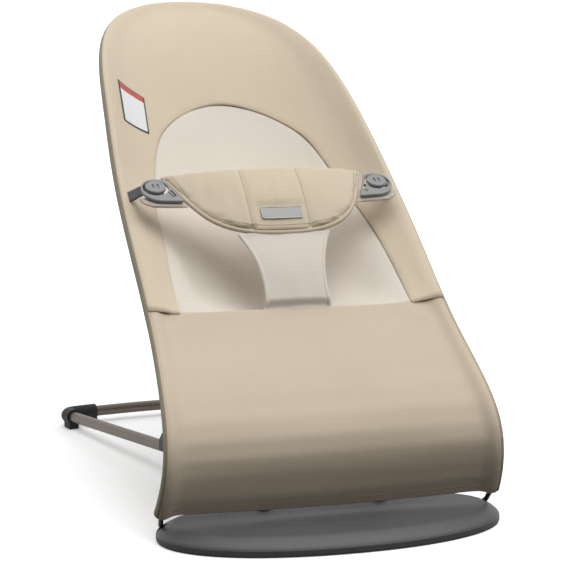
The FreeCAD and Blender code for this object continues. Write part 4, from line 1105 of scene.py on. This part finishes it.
# ---------------------------------------------------------------- stage, light, camera
def stage_and_light():
    """Plain pale floor, a soft dome and two broad lights; the floor sends no bounce up into the cloth."""
    bpy.ops.mesh.primitive_plane_add(size=160.0, location=(0.0, 0.0, -0.0004))
    floor = bpy.context.object
    floor.name = "floor"
    material, _, surface = start_material("pale_floor")
    set_inputs(surface, Base_Color=(0.95, 0.95, 0.95, 1.0), Roughness=0.95, Specular_IOR_Level=0.1,
               Emission_Color=(1.0, 1.0, 1.0, 1.0), Emission_Strength=0.2)
    floor.data.materials.append(material)
    floor.visible_diffuse = False
    studio_world()
    sun("key", (0.34, -0.42, 1.0), 1.8, 74.0)
    sun("top", (-0.10, 0.10, 1.0), 0.45, 60.0)
    bpy.context.scene.view_settings.view_transform = "Standard"


def studio_world():
    """Soft studio dome: bright overhead and behind, dim in front near the floor and below it."""
    world = bpy.data.worlds.new("studio")
    bpy.context.scene.world = world
    world.use_nodes = True
    tree = world.node_tree
    background = tree.nodes["Background"]
    set_inputs(background, Color=(1.0, 1.0, 1.0, 1.0))
    parts = tree.nodes.new("ShaderNodeSeparateXYZ")
    tree.links.new(tree.nodes.new("ShaderNodeTexCoord").outputs["Generated"], parts.inputs[0])
    over_floor = math_node(tree, "GREATER_THAN", parts.outputs[2], -0.05)
    behind = times(tree, parts.outputs[1], times(tree, over_floor, 1.6))
    raised = math_node(tree, "MAXIMUM", parts.outputs[2], 0.0)
    above = times(tree, math_node(tree, "POWER", raised, 1.3), 0.85)
    brightest = math_node(tree, "MAXIMUM", behind, math_node(tree, "MAXIMUM", above, BOUNCE))
    tree.links.new(math_node(tree, "MINIMUM", brightest, 1.0), background.inputs["Strength"])


def sun(name, direction, strength, spread):
    """Broad sunlight arriving from a direction; spread is its angle in degrees."""
    data = bpy.data.lights.new(name, "SUN")
    data.energy = strength
    data.angle = math.radians(spread)
    lamp = bpy.data.objects.new(name, data)
    lamp.rotation_euler = (-Vector(direction)).to_track_quat("-Z", "Y").to_euler()
    bpy.context.scene.collection.objects.link(lamp)


def camera():
    data = bpy.data.cameras.new("camera")
    data.lens = CAMERA_LENS
    data.sensor_width = 36.0
    made = bpy.data.objects.new("camera", data)
    a, e = CAMERA_AZIMUTH, CAMERA_ELEVATION
    back = Vector((math.sin(a) * math.cos(e), -math.cos(a) * math.cos(e), math.sin(e)))
    target = Vector(xyz(*CAMERA_TARGET))
    made.location = target + back * CAMERA_DISTANCE
    made.rotation_mode = "QUATERNION"
    made.rotation_quaternion = (-back).to_track_quat("-Z", "Y")
    bpy.context.scene.collection.objects.link(made)
    bpy.context.scene.camera = made


dress_cad()
cover_piece = seat_pieces()
lining_piece()
band_pieces()
apron_pieces()
belt_pieces()
strip_pieces()
for side_sign, side_word in ((1.0, "_right"), (-1.0, "_left")):
    tab_and_strap(side_sign, side_word)
label_piece(cover_piece)
stage_and_light()
camera()
